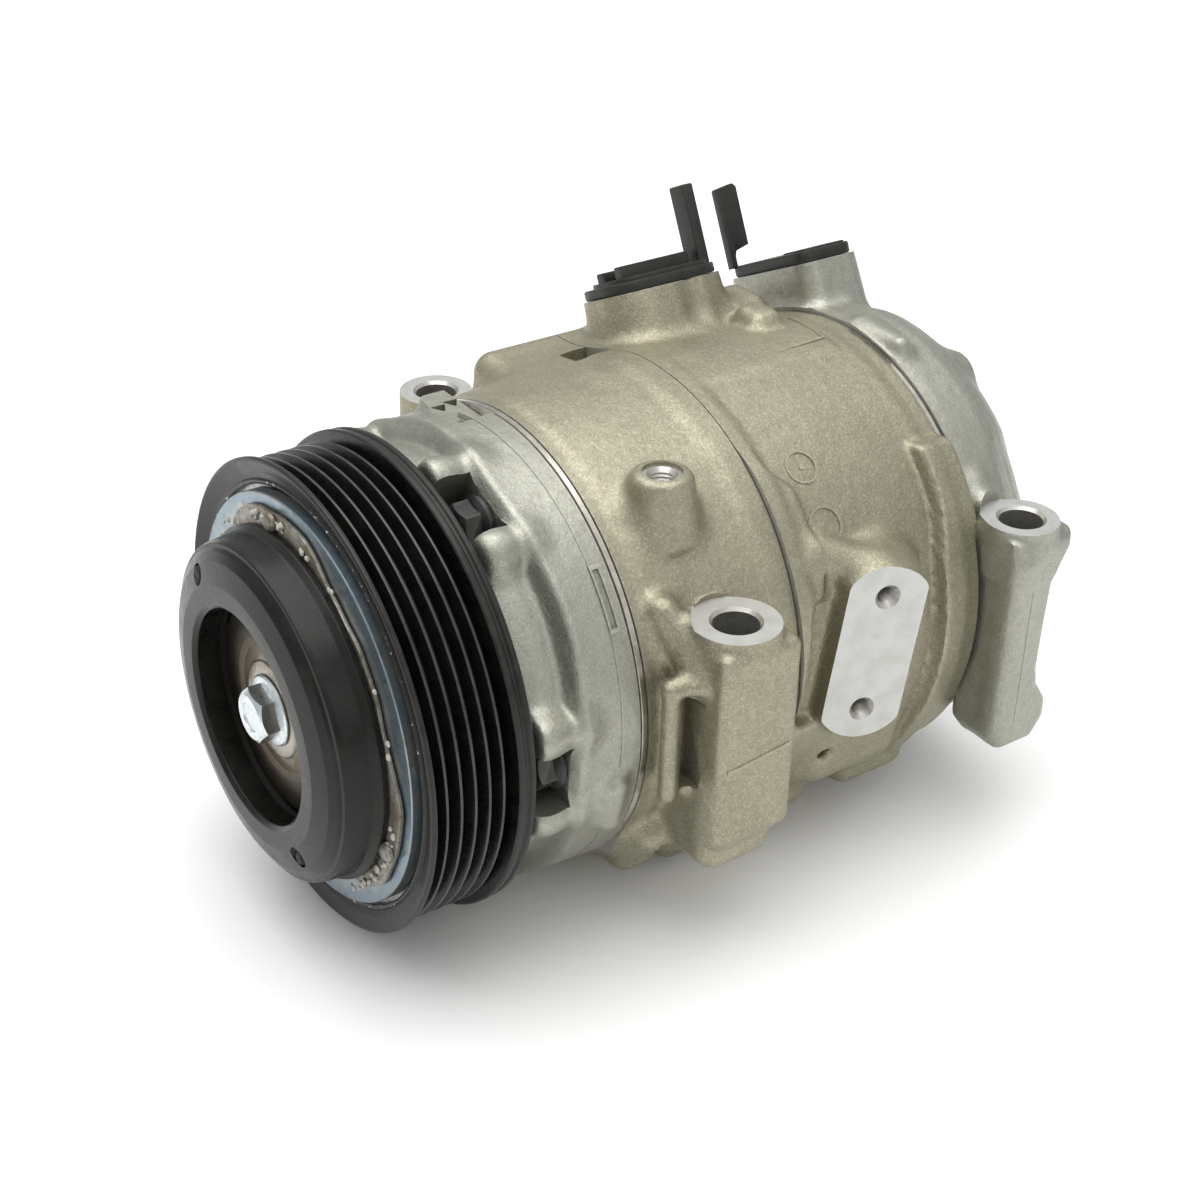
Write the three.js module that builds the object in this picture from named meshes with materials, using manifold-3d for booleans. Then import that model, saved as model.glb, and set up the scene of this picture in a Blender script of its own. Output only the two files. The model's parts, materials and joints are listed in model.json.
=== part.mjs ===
// Automotive air-conditioning compressor: a ten-cylinder, fixed-stroke swash-plate
// machine with a magnetic clutch and a six-groove belt pulley. Millimetres, +Z up.
//
// Every solid is written in shaft coordinates: the shaft runs along Y through x = 0, z = 0,
// the clutch faces -Y, and y = 0 is the front end of the belt grooves. The last lines move
// the whole assembly so that its origin is the middle of its footprint, on the ground.

import * as THREE from 'three';
import { mergeVertices } from 'three/addons/utils/BufferGeometryUtils.js';
import Module from 'manifold-3d';

const wasm = await Module();
wasm.setup();

// ---------------------------------------------------------------- driving dimensions

const GAP = 0.3;                     // clearance left between touching pieces

// belt pulley, poly-V section
const GROOVES = 6;
const GROOVE_PITCH = 3.56;
const RIB_RADIUS = 55.9;
const GROOVE_RADIUS = 52.7;
const FLANGE_RADIUS = 57;
const SHOULDER_RADIUS = 58;
const PULLEY_END = 25.2;
const FRICTION_FACE = 2.3;
const BEARING_BORE = 20.3;
const BEARING_RADIUS = 31;

// stack of castings and plates along the shaft
const FRONT_FACE = 27.1;
const FRONT_PLATE = { from: 53.4, to: 55.0 };
const CYLINDER_SPLIT = 96.5;
const REAR_PLATE = { from: 152.3, to: 155.7 };
const REAR_END = 184;
const BODY_RADIUS = 57.3;            // at the valve plates
const SPLIT_RADIUS = 60;             // at the joint between the two cylinder blocks

// pumping mechanism
const PISTONS = 5;
const BORE_RADIUS = 16;
const BORE_CIRCLE = 36;
const STROKE = 20;
const SWASH_CENTRE = 103.5;
const SWASH_RADIUS = 41;
const SWASH_THICKNESS = 5;
const PISTON_HALF = 38;
const WINDOW_HALF = 26.8;
const SHAFT_RADIUS = 8;
const CHAMBER_RADIUS = 43.2;

// through bolts
const BOLT_CIRCLE = 47;
const FIRST_BOLT_ANGLE = -4.5;       // degrees from +X towards +Z
const BOLT_RADIUS = 3;
const POCKET_FLOOR = 36.3;

// mounting lugs
const LUG_TOP = 27.5;
const LUG_BOTTOM = -34;
const LUG_BORE = 5.35;
const NEAR_LUG_X = 62;
const FRONT_LUG = { y: 74.4, radius: 10.2 };
const REAR_LUG = { y: 162.3, radius: 9.2 };
const FAR_LUG = { x: -76, y: 81.1, radius: 9.8 };
const LUG_REACH = { near: 44, far: -50 };   // x where the lug webs end inside the body

// ports and their shipping caps
const PORT_TILT = 26;                // degrees from +Z towards -X
const FRONT_PORT = {
  y: 119, half: 17.5, across: 13, height: 71.5, offset: -1, corner: 11,
  bore: { y: -5, radius: 8, depth: 14 },
};
const REAR_PORT = {
  y: 166, half: 9.7, across: 17.5, height: 68, offset: -2.5, corner: 5,
  bore: { y: 0, radius: 6.5, depth: 26 },
};
const BOSS_DEPTH = 34;               // how far a port boss goes down into its casting
const CAP_PLATE = 3;
const SPIGOT_DEPTH = 7;

// high-pressure relief valve in the rear face
const VALVE = { x: 38, z: -9 };

// clutch
const HUB_MOUTH = 25.7;
const HUB_FACE = -15.8;
const HUB_RADIUS = 40.6;
const ARMATURE = { from: -1.4, to: 1.8, radius: 49.3, bore: 23 };
const RIVET_CIRCLE = 44.2;
const RIVET_ANGLES = [98, -22, -142];

// ---------------------------------------------------------------- solid helpers

const Y_AXIS = new THREE.Vector3(0, 1, 0);
const radians = THREE.MathUtils.degToRad;

/** The volume enclosed by an indexed geometry, negative when its faces point inwards. */
function signedVolume(position, index) {
  const [a, b, c] = [new THREE.Vector3(), new THREE.Vector3(), new THREE.Vector3()];
  let volume = 0;
  for (let i = 0; i < index.length; i += 3) {
    a.fromBufferAttribute(position, index[i]);
    b.fromBufferAttribute(position, index[i + 1]);
    c.fromBufferAttribute(position, index[i + 2]);
    volume += a.dot(b.cross(c)) / 6;
  }
  return volume;
}

/** A closed three.js geometry as a solid that can be joined and cut. */
function solid(geometry) {
  const bare = geometry.clone();
  bare.deleteAttribute('normal');
  bare.deleteAttribute('uv');
  const merged = mergeVertices(bare, 1e-4);
  const source = Array.from(merged.index.array);
  const index = [];
  for (let i = 0; i < source.length; i += 3) {
    const [a, b, c] = source.slice(i, i + 3);
    if (a !== b && b !== c && c !== a) index.push(a, b, c);
  }
  if (signedVolume(merged.attributes.position, index) < 0) index.reverse();
  return new wasm.Manifold(new wasm.Mesh({
    numProp: 3,
    vertProperties: new Float32Array(merged.attributes.position.array),
    triVerts: new Uint32Array(index),
  }));
}

/** A solid as a three.js geometry. */
function geometryOf(body) {
  const mesh = body.getMesh();
  const geometry = new THREE.BufferGeometry();
  const position = new Float32Array(mesh.vertProperties);
  geometry.setAttribute('position', new THREE.BufferAttribute(position, 3));
  geometry.setIndex(Array.from(mesh.triVerts));
  geometry.computeVertexNormals();
  return geometry;
}

const join = (...bodies) => bodies.reduce((all, body) => all.add(body));
const cut = (body, ...tools) => tools.reduce((rest, tool) => rest.subtract(tool), body);

/** A solid turned about the shaft from a closed outline of [radius, y] corners. */
function turned(outline, segments = 36) {
  const points = outline.map(([r, y]) => new THREE.Vector2(r, y));
  points.push(points[0].clone());
  return solid(new THREE.LatheGeometry(points, segments));
}

/** A plain ring about the shaft. */
function ring(inner, outer, from, to, segments = 20) {
  return turned([[inner, from], [outer, from], [outer, to], [inner, to]], segments);
}

/** A round bar between two points. */
function bar(start, end, radius, segments = 20, endRadius = radius) {
  const [from, to] = [new THREE.Vector3(...start), new THREE.Vector3(...end)];
  const along = to.clone().sub(from);
  const geometry = new THREE.CylinderGeometry(endRadius, radius, along.length(), segments);
  const turn = new THREE.Quaternion().setFromUnitVectors(Y_AXIS, along.clone().normalize());
  const centre = from.add(to).multiplyScalar(0.5);
  geometry.applyMatrix4(new THREE.Matrix4().compose(centre, turn, new THREE.Vector3(1, 1, 1)));
  return solid(geometry);
}

/** A bar along the shaft direction at (x, z). */
const axialBar = (x, z, radius, from, to, segments = 20) => (
  bar([x, from, z], [x, to, z], radius, segments)
);

/** A box between two opposite corners. */
function block([x0, y0, z0], [x1, y1, z1]) {
  const geometry = new THREE.BoxGeometry(x1 - x0, y1 - y0, z1 - z0);
  geometry.translate((x0 + x1) / 2, (y0 + y1) / 2, (z0 + z1) / 2);
  return solid(geometry);
}

/** An extruded outline, placed by a matrix; the outline lies in local XY, and it rises along Z. */
function prism(shape, depth, matrix, curveSegments = 4) {
  const geometry = new THREE.ExtrudeGeometry(shape, { depth, bevelEnabled: false, curveSegments });
  geometry.applyMatrix4(matrix);
  return solid(geometry);
}

/** A slot-shaped outline: a rectangle with corners rounded by `corner`. */
function roundedOutline(halfWidth, halfHeight, corner) {
  const shape = new THREE.Shape();
  shape.moveTo(halfWidth, -halfHeight + corner);
  shape.absarc(halfWidth - corner, halfHeight - corner, corner, 0, Math.PI / 2);
  shape.absarc(-halfWidth + corner, halfHeight - corner, corner, Math.PI / 2, Math.PI);
  shape.absarc(-halfWidth + corner, -halfHeight + corner, corner, Math.PI, Math.PI * 1.5);
  shape.absarc(halfWidth - corner, -halfHeight + corner, corner, Math.PI * 1.5, Math.PI * 2);
  return shape;
}

/** A point at an angle about the shaft, as [x, z]. */
function around(radius, degrees) {
  const angle = radians(degrees);
  return [radius * Math.cos(angle), radius * Math.sin(angle)];
}

const fivefold = (first) => Array.from({ length: PISTONS }, (_, i) => first + (360 / PISTONS) * i);
const BOLT_ANGLES = fivefold(FIRST_BOLT_ANGLE);
const PISTON_ANGLES = fivefold(FIRST_BOLT_ANGLE + 180 / PISTONS);

/** The clearance holes of the five through bolts between two planes. */
const boltHoles = (from, to) => join(...BOLT_ANGLES.map((angle) => {
  const [x, z] = around(BOLT_CIRCLE, angle);
  return axialBar(x, z, BOLT_RADIUS + 0.6, from, to, 8);
}));

/** The five cylinder bores between two planes. */
const cylinderBores = (from, to) => join(...PISTON_ANGLES.map((angle) => {
  const [x, z] = around(BORE_CIRCLE, angle);
  return axialBar(x, z, BORE_RADIUS, from, to, 20);
}));

// ---------------------------------------------------------------- materials

const material = (color, roughness, metalness) => (
  new THREE.MeshStandardMaterial({ color, roughness, metalness })
);
const castFront = material(0xb4b6ac, 0.42, 0.9);
const castBlock = material(0xa79f8b, 0.5, 0.85);
const machined = material(0xd4d5d2, 0.3, 0.95);
const steel = material(0xa9acad, 0.32, 1);
const zinc = material(0xd2d9dc, 0.25, 1);
const blackSteel = material(0x1b1c1c, 0.35, 0.6);
const pulleyBlack = material(0x0d0d0e, 0.25, 0.5);
const bluedSteel = material(0x77858f, 0.35, 0.8);
const rustySteel = material(0x5b5040, 0.6, 0.6);
const rubber = material(0x131313, 0.8, 0);
const blackPlastic = material(0x2a2b28, 0.55, 0);
const coilPlastic = material(0x2f2f2f, 0.6, 0);
const brass = material(0xb08d4c, 0.35, 0.9);

const assembly = new THREE.Group();

/** Adds a solid to the assembly as a named piece. */
function piece(name, body, look) {
  const mesh = new THREE.Mesh(geometryOf(body), look);
  mesh.name = name;
  assembly.add(mesh);
}

// ---------------------------------------------------------------- castings

/** An upright mounting lug with its bolt bore, and the web that ties it to the body. */
function lug(x, y, radius, webTo) {
  const column = bar([x, y, LUG_BOTTOM], [x, y, LUG_TOP], radius, 24);
  const [x0, x1] = [Math.min(x, webTo), Math.max(x, webTo)];
  const web = block([x0, y - radius + 1, LUG_BOTTOM + 8], [x1, y + radius - 1, LUG_TOP - 4]);
  return join(column, web);
}

const lugBore = (x, y) => bar([x, y, LUG_BOTTOM - 1], [x, y, LUG_TOP + 1], LUG_BORE, 24);

/** The frame of a port face: local X across, local Y along the shaft, local Z out of the port. */
function portFrame({ y, height, offset }) {
  const tilt = radians(PORT_TILT);
  const out = new THREE.Vector3(-Math.sin(tilt), 0, Math.cos(tilt));
  const across = new THREE.Vector3(Math.cos(tilt), 0, Math.sin(tilt));
  const centre = out.clone().multiplyScalar(height).addScaledVector(across, offset);
  centre.y = y;
  return new THREE.Matrix4().makeBasis(across, Y_AXIS, out).setPosition(centre);
}

/** A matrix that places something at (x, y, z) in a port's frame. */
const atPort = (port, x = 0, y = 0, z = 0) => (
  portFrame(port).multiply(new THREE.Matrix4().makeTranslation(x, y, z))
);

/** A boss that carries a pipe port, standing on the body. */
function portBoss(port) {
  const outline = roundedOutline(port.across, port.half, port.corner);
  return prism(outline, BOSS_DEPTH, atPort(port, 0, 0, -BOSS_DEPTH));
}

/** The blind pipe bore in a port boss. */
function portBore(port) {
  const { y, radius, depth } = port.bore;
  const circle = new THREE.Shape().absarc(0, 0, radius, 0, Math.PI * 2);
  return prism(circle, depth + 1, atPort(port, 0, y, -depth));
}

function frontHousing() {
  const shell = turned([
    [8.9, 19], [14, 19], [14, 8.2], [14.6, 8.2], [14.6, 6.2], [14, 6.2], [14, 1.4],
    [19.4, 1.4], [20, 2], [20, 2.1], [19, 2.1], [19, 3.7], [20, 3.7], [20, FRONT_FACE],
    [46, FRONT_FACE], [51, 28.4], [54.6, 32], [56, 37], [56.4, FRONT_PLATE.from - GAP],
    [43.5, FRONT_PLATE.from - GAP], [43.5, 43], [18, 43], [18, FRONT_PLATE.from - GAP],
    [8.9, FRONT_PLATE.from - GAP],
  ], 30);
  const pockets = BOLT_ANGLES.map((angle) => {
    const outline = roundedOutline(9, 14, 8);
    const [x, z] = around(BOLT_CIRCLE + 6, angle);
    const place = new THREE.Matrix4().makeRotationY(-radians(angle) + Math.PI / 2)
      .multiply(new THREE.Matrix4().makeRotationX(-Math.PI / 2));
    place.setPosition(x, FRONT_FACE - 6, z);
    return prism(outline, POCKET_FLOOR - FRONT_FACE + 6, place, 3);
  });
  return cut(shell, ...pockets, boltHoles(POCKET_FLOOR - 1, 60));
}

/** The flat-topped muffler chamber on the far upper side of both blocks. */
const muffler = (from, to) => block([-46, from, 20], [-16, to, 52.5]);

function frontCylinder() {
  const [from, to] = [FRONT_PLATE.to + GAP, CYLINDER_SPLIT - GAP / 2];
  const barrel = turned([[9, from], [BODY_RADIUS, from], [SPLIT_RADIUS, to], [9, to]], 32);
  const sensorBoss = bar([37, 71.5, 38], [37, 71.5, 54], 9, 20, 6.9);
  const foot = block([32, 58, -47], [43, 70, -36]);
  const farArm = lug(FAR_LUG.x, FAR_LUG.y, FAR_LUG.radius, LUG_REACH.far);
  const body = join(barrel, sensorBoss, muffler(72, to), foot, farArm,
    lug(NEAR_LUG_X, FRONT_LUG.y, FRONT_LUG.radius, LUG_REACH.near));
  return cut(body,
    cylinderBores(from - 1, to + 1),
    ring(0, CHAMBER_RADIUS, 77.5, to + 1, 32),
    axialBar(0, 0, 13, 58, 79, 24),
    boltHoles(from - 1, to + 1),
    lugBore(NEAR_LUG_X, FRONT_LUG.y),
    lugBore(FAR_LUG.x, FAR_LUG.y),
    bar([37, 71.5, 45], [37, 71.5, 56], 3, 12));
}

// the flat machined pad on the near side of the rear block
const PAD = { x: 62.8, y: 117, z: 4.6, halfWidth: 9.9, halfHeight: 23, turn: -17.7, lean: 7 };

function padFrame(depth) {
  const normal = new THREE.Matrix4().makeRotationZ(radians(PAD.turn));
  const face = new THREE.Matrix4().makeBasis(
    Y_AXIS, new THREE.Vector3(0, 0, 1), new THREE.Vector3(1, 0, 0));
  const lean = new THREE.Matrix4().makeRotationZ(radians(-PAD.lean));
  const place = new THREE.Matrix4().makeTranslation(PAD.x, PAD.y, PAD.z);
  return place.multiply(normal).multiply(face).multiply(lean)
    .multiply(new THREE.Matrix4().makeTranslation(0, 0, depth));
}

function rearCylinder() {
  const [from, to] = [CYLINDER_SPLIT + GAP / 2, REAR_PLATE.from - GAP];
  const barrel = turned([[9, from], [SPLIT_RADIUS, from], [BODY_RADIUS, to], [9, to]], 32);
  const pad = prism(roundedOutline(PAD.halfWidth, PAD.halfHeight, PAD.halfWidth), 22, padFrame(-22));
  const foot = block([32, 104, -47], [43, 140, -36]);
  const body = join(barrel, pad, foot, muffler(from, 150), portBoss(FRONT_PORT));
  const padHoles = [-15.3, 15.3].map((up) => prism(
    new THREE.Shape().absarc(0, up, 2.6, 0, Math.PI * 2), 9, padFrame(-8), 3));
  return cut(body,
    cylinderBores(from - 1, to + 1),
    ring(0, CHAMBER_RADIUS, from - 1, 129.5, 32),
    axialBar(0, 0, 13, 128, 149, 24),
    boltHoles(from - 1, to + 1),
    portBore(FRONT_PORT),
    ...padHoles);
}

function rearHousing() {
  const from = REAR_PLATE.to + GAP;
  const shell = turned([
    [0, from], [BODY_RADIUS + 0.5, from], [57.6, 170], [54, 178], [46, REAR_END], [0, REAR_END],
  ], 32);
  const valveBoss = axialBar(VALVE.x, VALVE.z, 8.5, 172, 187);
  // the lug reaches forward past the valve plate, and stays clear of it
  const rearLug = cut(
    lug(NEAR_LUG_X, REAR_LUG.y, REAR_LUG.radius, LUG_REACH.near),
    axialBar(0, 0, BODY_RADIUS + 1.2, REAR_PLATE.from - 4, from, 32));
  const body = join(shell, valveBoss, rearLug, portBoss(REAR_PORT));
  return cut(body,
    ring(20, 43.5, from - 1, 170, 32),
    axialBar(0, 0, 16, from - 1, 168),
    lugBore(NEAR_LUG_X, REAR_LUG.y),
    boltHoles(from - 1, 168),
    axialBar(VALVE.x, VALVE.z, 5, 176, 190),
    portBore(REAR_PORT));
}

/** A valve plate: bolt holes, a shaft hole and a suction and a discharge port for each bore. */
function valvePlate({ from, to }, inner) {
  const ports = PISTON_ANGLES.flatMap((angle) => [27, 44].map((radius) => {
    const [x, z] = around(radius, angle);
    return axialBar(x, z, 2.6, from - 1, to + 1, 5);
  }));
  return cut(ring(inner, BODY_RADIUS - 0.4, from, to, 32), boltHoles(from - 1, to + 1), ...ports);
}

/** A five-armed discharge reed, which lies in the chamber next to its valve plate. */
function reedStar(from, to) {
  const hub = ring(21, 26, from, to, 20);
  const arms = PISTON_ANGLES.map((angle) => (
    block([24, from, -4], [42, to, 4]).rotate([0, -angle, 0])
  ));
  return join(hub, ...arms);
}

piece('front_housing', frontHousing(), castFront);
piece('front_cylinder', frontCylinder(), castBlock);
piece('rear_cylinder', rearCylinder(), castBlock);
piece('rear_housing', rearHousing(), castFront);
piece('front_valve_plate', valvePlate(FRONT_PLATE, 9), steel);
piece('rear_valve_plate', valvePlate(REAR_PLATE, 3), steel);
piece('front_discharge_reed', reedStar(FRONT_PLATE.from - 1, FRONT_PLATE.from - GAP), steel);
piece('rear_discharge_reed', reedStar(REAR_PLATE.to + GAP, REAR_PLATE.to + 1), steel);

// ---------------------------------------------------------------- through bolts

function throughBolt(angle) {
  const [x, z] = around(BOLT_CIRCLE, angle);
  const seat = POCKET_FLOOR - GAP;
  return join(
    axialBar(x, z, BOLT_RADIUS, seat - 0.5, 166, 8),
    axialBar(x, z, 6, seat - 1.6, seat, 14),
    axialBar(x, z, 5.4, seat - 6.4, seat - 1.2, 6));
}

BOLT_ANGLES.forEach((angle, i) => piece(`through_bolt_${i + 1}`, throughBolt(angle), blackSteel));

// ---------------------------------------------------------------- pulley and its bearing

/** The outline of the belt grooves, from the front flange to the rear shoulder. */
function grooveOutline() {
  const outline = [[FLANGE_RADIUS, 0.4]];
  for (let groove = 0; groove < GROOVES; groove += 1) {
    outline.push([GROOVE_RADIUS, GROOVE_PITCH * (groove + 0.5)]);
    if (groove < GROOVES - 1) outline.push([RIB_RADIUS, GROOVE_PITCH * (groove + 1)]);
  }
  return outline;
}

function pulley() {
  return turned([
    [BEARING_RADIUS + GAP, 23.4], [BEARING_RADIUS + GAP, 3.8], [29, 3.8], [29, FRICTION_FACE],
    [50.3, FRICTION_FACE], [50.8, -0.9], [56.6, -0.9],
    ...grooveOutline(),
    [SHOULDER_RADIUS, 20.6], [SHOULDER_RADIUS, 22.2], [57.2, 22.9], [57.8, 23.6],
    [57.2, PULLEY_END], [49.3, PULLEY_END], [49.3, 7.3], [34.2, 7.3], [34.2, 23.4],
  ], 36);
}

/** Nine balls held in a ring-shaped cage. */
function ballCage() {
  const cage = ring(24.7, 26.3, 8.5, 17.5, 18);
  const balls = Array.from({ length: 9 }, (_, i) => {
    const [x, z] = around(25.5, 40 * i);
    const ball = new THREE.SphereGeometry(1.5, 4, 3);
    ball.translate(x, 13, z);
    return solid(ball);
  });
  return join(cage, ...balls);
}

piece('pulley', pulley(), pulleyBlack);
piece('bearing_outer_ring', ring(27.3, BEARING_RADIUS, 4.1, 22, 24), steel);
piece('bearing_ball_cage', ballCage(), brass);
piece('bearing_inner_ring', ring(BEARING_BORE, 23.7, 4.1, 22), steel);
piece('pulley_snap_ring', ring(19.3, 22.4, 2.5, 3.3, 28), blackSteel);
piece('clutch_coil', turned([
  [35, 8.2], [48.5, 8.2], [48.5, 25.6], [50.2, 25.6], [50.2, FRONT_FACE - GAP],
  [20.3, FRONT_FACE - GAP], [20.3, 25.6], [35, 25.6],
], 24), coilPlastic);

// ---------------------------------------------------------------- shaft line

function shaft() {
  const body = turned([
    [0, -6.6], [6, -6.6], [6, 5], [SHAFT_RADIUS, 6.2], [SHAFT_RADIUS, 149], [7, 150],
    [0, 150],
  ], 20);
  return cut(body, axialBar(0, 0, 4, -8, 10, 16));
}

function swashPlate() {
  const tilt = Math.atan(STROKE / 2 / BORE_CIRCLE);
  const disc = new THREE.CylinderGeometry(SWASH_RADIUS, SWASH_RADIUS, SWASH_THICKNESS, 24);
  disc.rotateX(tilt);
  disc.translate(0, SWASH_CENTRE, 0);
  const hub = axialBar(0, 0, 15, 81.1, 125.9, 28);
  const reach = SWASH_RADIUS + 2;
  const rim = axialBar(0, 0, SWASH_RADIUS, SWASH_CENTRE - reach, SWASH_CENTRE + reach, 24);
  return cut(join(solid(disc).intersect(rim), hub), axialBar(0, 0, SHAFT_RADIUS + GAP, 70, 140, 28));
}

function shaftHub() {
  const body = turned([
    [6.4, -9], [11.7, -9], [12.2, -8.4], [25.3, -8.1], [25.3, -6], [12.2, -5.6], [11.4, 0.9],
    [6.4, 0.9],
  ], 24);
  return body;
}

function clutchHub() {
  return turned([
    [HUB_MOUTH, -14.9], [26.8, HUB_FACE], [32, HUB_FACE], [36.8, -14.4], [39.6, -12.3],
    [HUB_RADIUS, -9.6], [42, -4.2], [42, -3.1], [39.8, -3.1],
    [38, -11.6], [31.4, -14.2], [27.4, -14.2], [27.4, -9.4], [HUB_MOUTH, -9.4],
  ], 30);
}

function centreBolt() {
  const head = axialBar(0, 0, 6.93, -14.6, -10, 6);
  const flange = axialBar(0, 0, 8.6, -10.4, -9.3, 28);
  const shank = axialBar(0, 0, 3.7, -9.6, 8, 14);
  return join(head.rotate([0, 12, 0]), flange, shank);
}

piece('shaft', shaft(), steel);
piece('swash_plate', swashPlate(), steel);
piece('front_thrust_bearing', ring(9, 14.6, 77.9, 80.7, 24), steel);
piece('rear_thrust_bearing', ring(9, 14.6, 126.3, 129.1, 24), steel);
piece('front_radial_bearing', ring(SHAFT_RADIUS + GAP, 12.7, 60, 74, 24), steel);
piece('rear_radial_bearing', ring(SHAFT_RADIUS + GAP, 12.7, 133, 147, 24), steel);
piece('shaft_seal', ring(SHAFT_RADIUS + GAP, 13.7, 8.6, 18.6, 28), rubber);
piece('seal_snap_ring', ring(11.5, 14.3, 6.5, 7.6, 28), steel);
piece('shaft_hub', shaftHub(), rustySteel);
piece('hub_damper', ring(27.8, 37.6, -10.8, -6.6, 24), rubber);
piece('clutch_hub', clutchHub(), blackSteel);
piece('centre_bolt', centreBolt(), zinc);

// ---------------------------------------------------------------- armature

const rivetHoles = (radius, from, to) => RIVET_ANGLES.map((angle) => {
  const [x, z] = around(RIVET_CIRCLE, angle);
  return axialBar(x, z, radius, from, to, 8);
});

/** The spring plate's outline: a circle that bulges into three riveted ears. */
function springPlate() {
  const steps = 30;
  const shape = new THREE.Shape();
  for (let i = 0; i < steps; i += 1) {
    const degrees = (360 / steps) * i;
    const lobe = Math.max(0, Math.cos(radians(3 * (degrees - RIVET_ANGLES[0]))));
    const [x, z] = around(43.4 + 3.8 * lobe ** 0.8, degrees);
    if (i === 0) shape.moveTo(x, z);
    else shape.lineTo(x, z);
  }
  shape.holes.push(new THREE.Path().absarc(0, 0, 27, 0, Math.PI * 2));
  const place = new THREE.Matrix4().makeRotationX(Math.PI / 2).setPosition(0, -1.8, 0);
  return cut(prism(shape, 0.9, place, 16), ...rivetHoles(2, -4, 0));
}

const armaturePlate = cut(
  ring(ARMATURE.bore, ARMATURE.radius, ARMATURE.from, ARMATURE.to, 36),
  ...rivetHoles(2, -4, 4));
piece('armature_plate', armaturePlate, bluedSteel);
piece('spring_plate', springPlate(), rustySteel);
RIVET_ANGLES.forEach((angle, i) => {
  const [x, z] = around(RIVET_CIRCLE, angle);
  const rivet = join(axialBar(x, z, 1.6, -3.4, 1.6, 8), axialBar(x, z, 2.2, -4.2, -3.1, 8));
  piece(`armature_rivet_${i + 1}`, rivet, steel);
});

// ---------------------------------------------------------------- pistons and shoes

/** How far the swash plate holds a piston from its mid-stroke, at rest. */
const restOffset = (degrees) => -(STROKE / 2) * Math.sin(radians(degrees));

function shoe(x, z, flat, inward) {
  const dome = new THREE.SphereGeometry(5, 8, 6);
  dome.translate(x, flat, z);
  const [near, far] = inward > 0 ? [flat, flat + 6] : [flat - 6, flat];
  return solid(dome).intersect(block([x - 7, near, z - 7], [x + 7, far, z + 7]));
}

PISTON_ANGLES.forEach((angle, i) => {
  const [x, z] = around(BORE_CIRCLE, angle);
  const middle = SWASH_CENTRE + restOffset(angle);
  const body = axialBar(x, z, BORE_RADIUS - 0.25, middle - PISTON_HALF, middle + PISTON_HALF, 20);
  const window = axialBar(0, 0, 42.5, middle - WINDOW_HALF, middle + WINDOW_HALF, 32);
  const pockets = [-1, 1].map((side) => {
    const dome = new THREE.SphereGeometry(5 + GAP + 0.2, 8, 6);
    dome.translate(x, middle + side * 24.5, z);
    return solid(dome);
  });
  piece(`piston_${i + 1}`, cut(body, window, ...pockets), machined);
  piece(`piston_${i + 1}_front_shoe`, shoe(x, z, middle - 24.5, -1), steel);
  piece(`piston_${i + 1}_rear_shoe`, shoe(x, z, middle + 24.5, 1), steel);
});

// ---------------------------------------------------------------- relief valve and port caps

function reliefValve() {
  return join(
    axialBar(VALVE.x, VALVE.z, 4.6, 180, 188, 12),
    axialBar(VALVE.x, VALVE.z, 7.4, 187.4, 192, 6),
    axialBar(VALVE.x, VALVE.z, 5.4, 191.8, 198, 16),
    axialBar(VALVE.x, VALVE.z, 6.6, 196, 198, 16));
}

/** A moulded cap: a cover plate, a spigot in the port, stiffening ribs and an upright pull tab. */
function portCap(port, { corner, tab, ribs }) {
  const outline = roundedOutline(port.across - 1.4, port.half - 1, corner);
  const plate = prism(outline, CAP_PLATE, atPort(port, 0, 0, GAP));
  const circle = new THREE.Shape().absarc(0, 0, port.bore.radius - GAP, 0, Math.PI * 2);
  const spigot = prism(circle, SPIGOT_DEPTH + 1, atPort(port, 0, port.bore.y, -SPIGOT_DEPTH));
  const grip = roundedOutline(tab.halfX, tab.halfY, 0.6);
  const pull = prism(grip, tab.height, atPort(port, tab.x, tab.y, CAP_PLATE), 2);
  const bars = ribs.map(({ x, y, halfY }) => prism(
    roundedOutline(1.2, halfY, 0.5), 3, atPort(port, x, y, 2.5), 2));
  return join(plate, spigot, pull, ...bars);
}

piece('relief_valve', reliefValve(), zinc);
piece('front_port_cap', portCap(FRONT_PORT, {
  corner: 10,
  tab: { x: 5, y: 12.4, halfX: 3.2, halfY: 1.6, height: 20 },
  ribs: [{ x: -3, y: -4, halfY: 8 }, { x: 5, y: -1, halfY: 10 }],
}), blackPlastic);
piece('rear_port_cap', portCap(REAR_PORT, {
  corner: 4,
  tab: { x: -14.3, y: -7.9, halfX: 1.5, halfY: 1.3, height: 22 },
  ribs: [],
}), blackPlastic);

// ---------------------------------------------------------------- origin

const box = new THREE.Box3().setFromObject(assembly);
const middle = box.getCenter(new THREE.Vector3());
assembly.position.set(-middle.x, -middle.y, -box.min.z);

export default assembly;
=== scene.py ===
"""The looks of the compressor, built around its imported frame.

Shapes are written in millimetres in shaft coordinates, as in the part itself: the shaft runs
along Y through x = 0, z = 0, the clutch faces -Y, and y = 0 is the front of the belt grooves.
"""

import json
import math
import random

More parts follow.
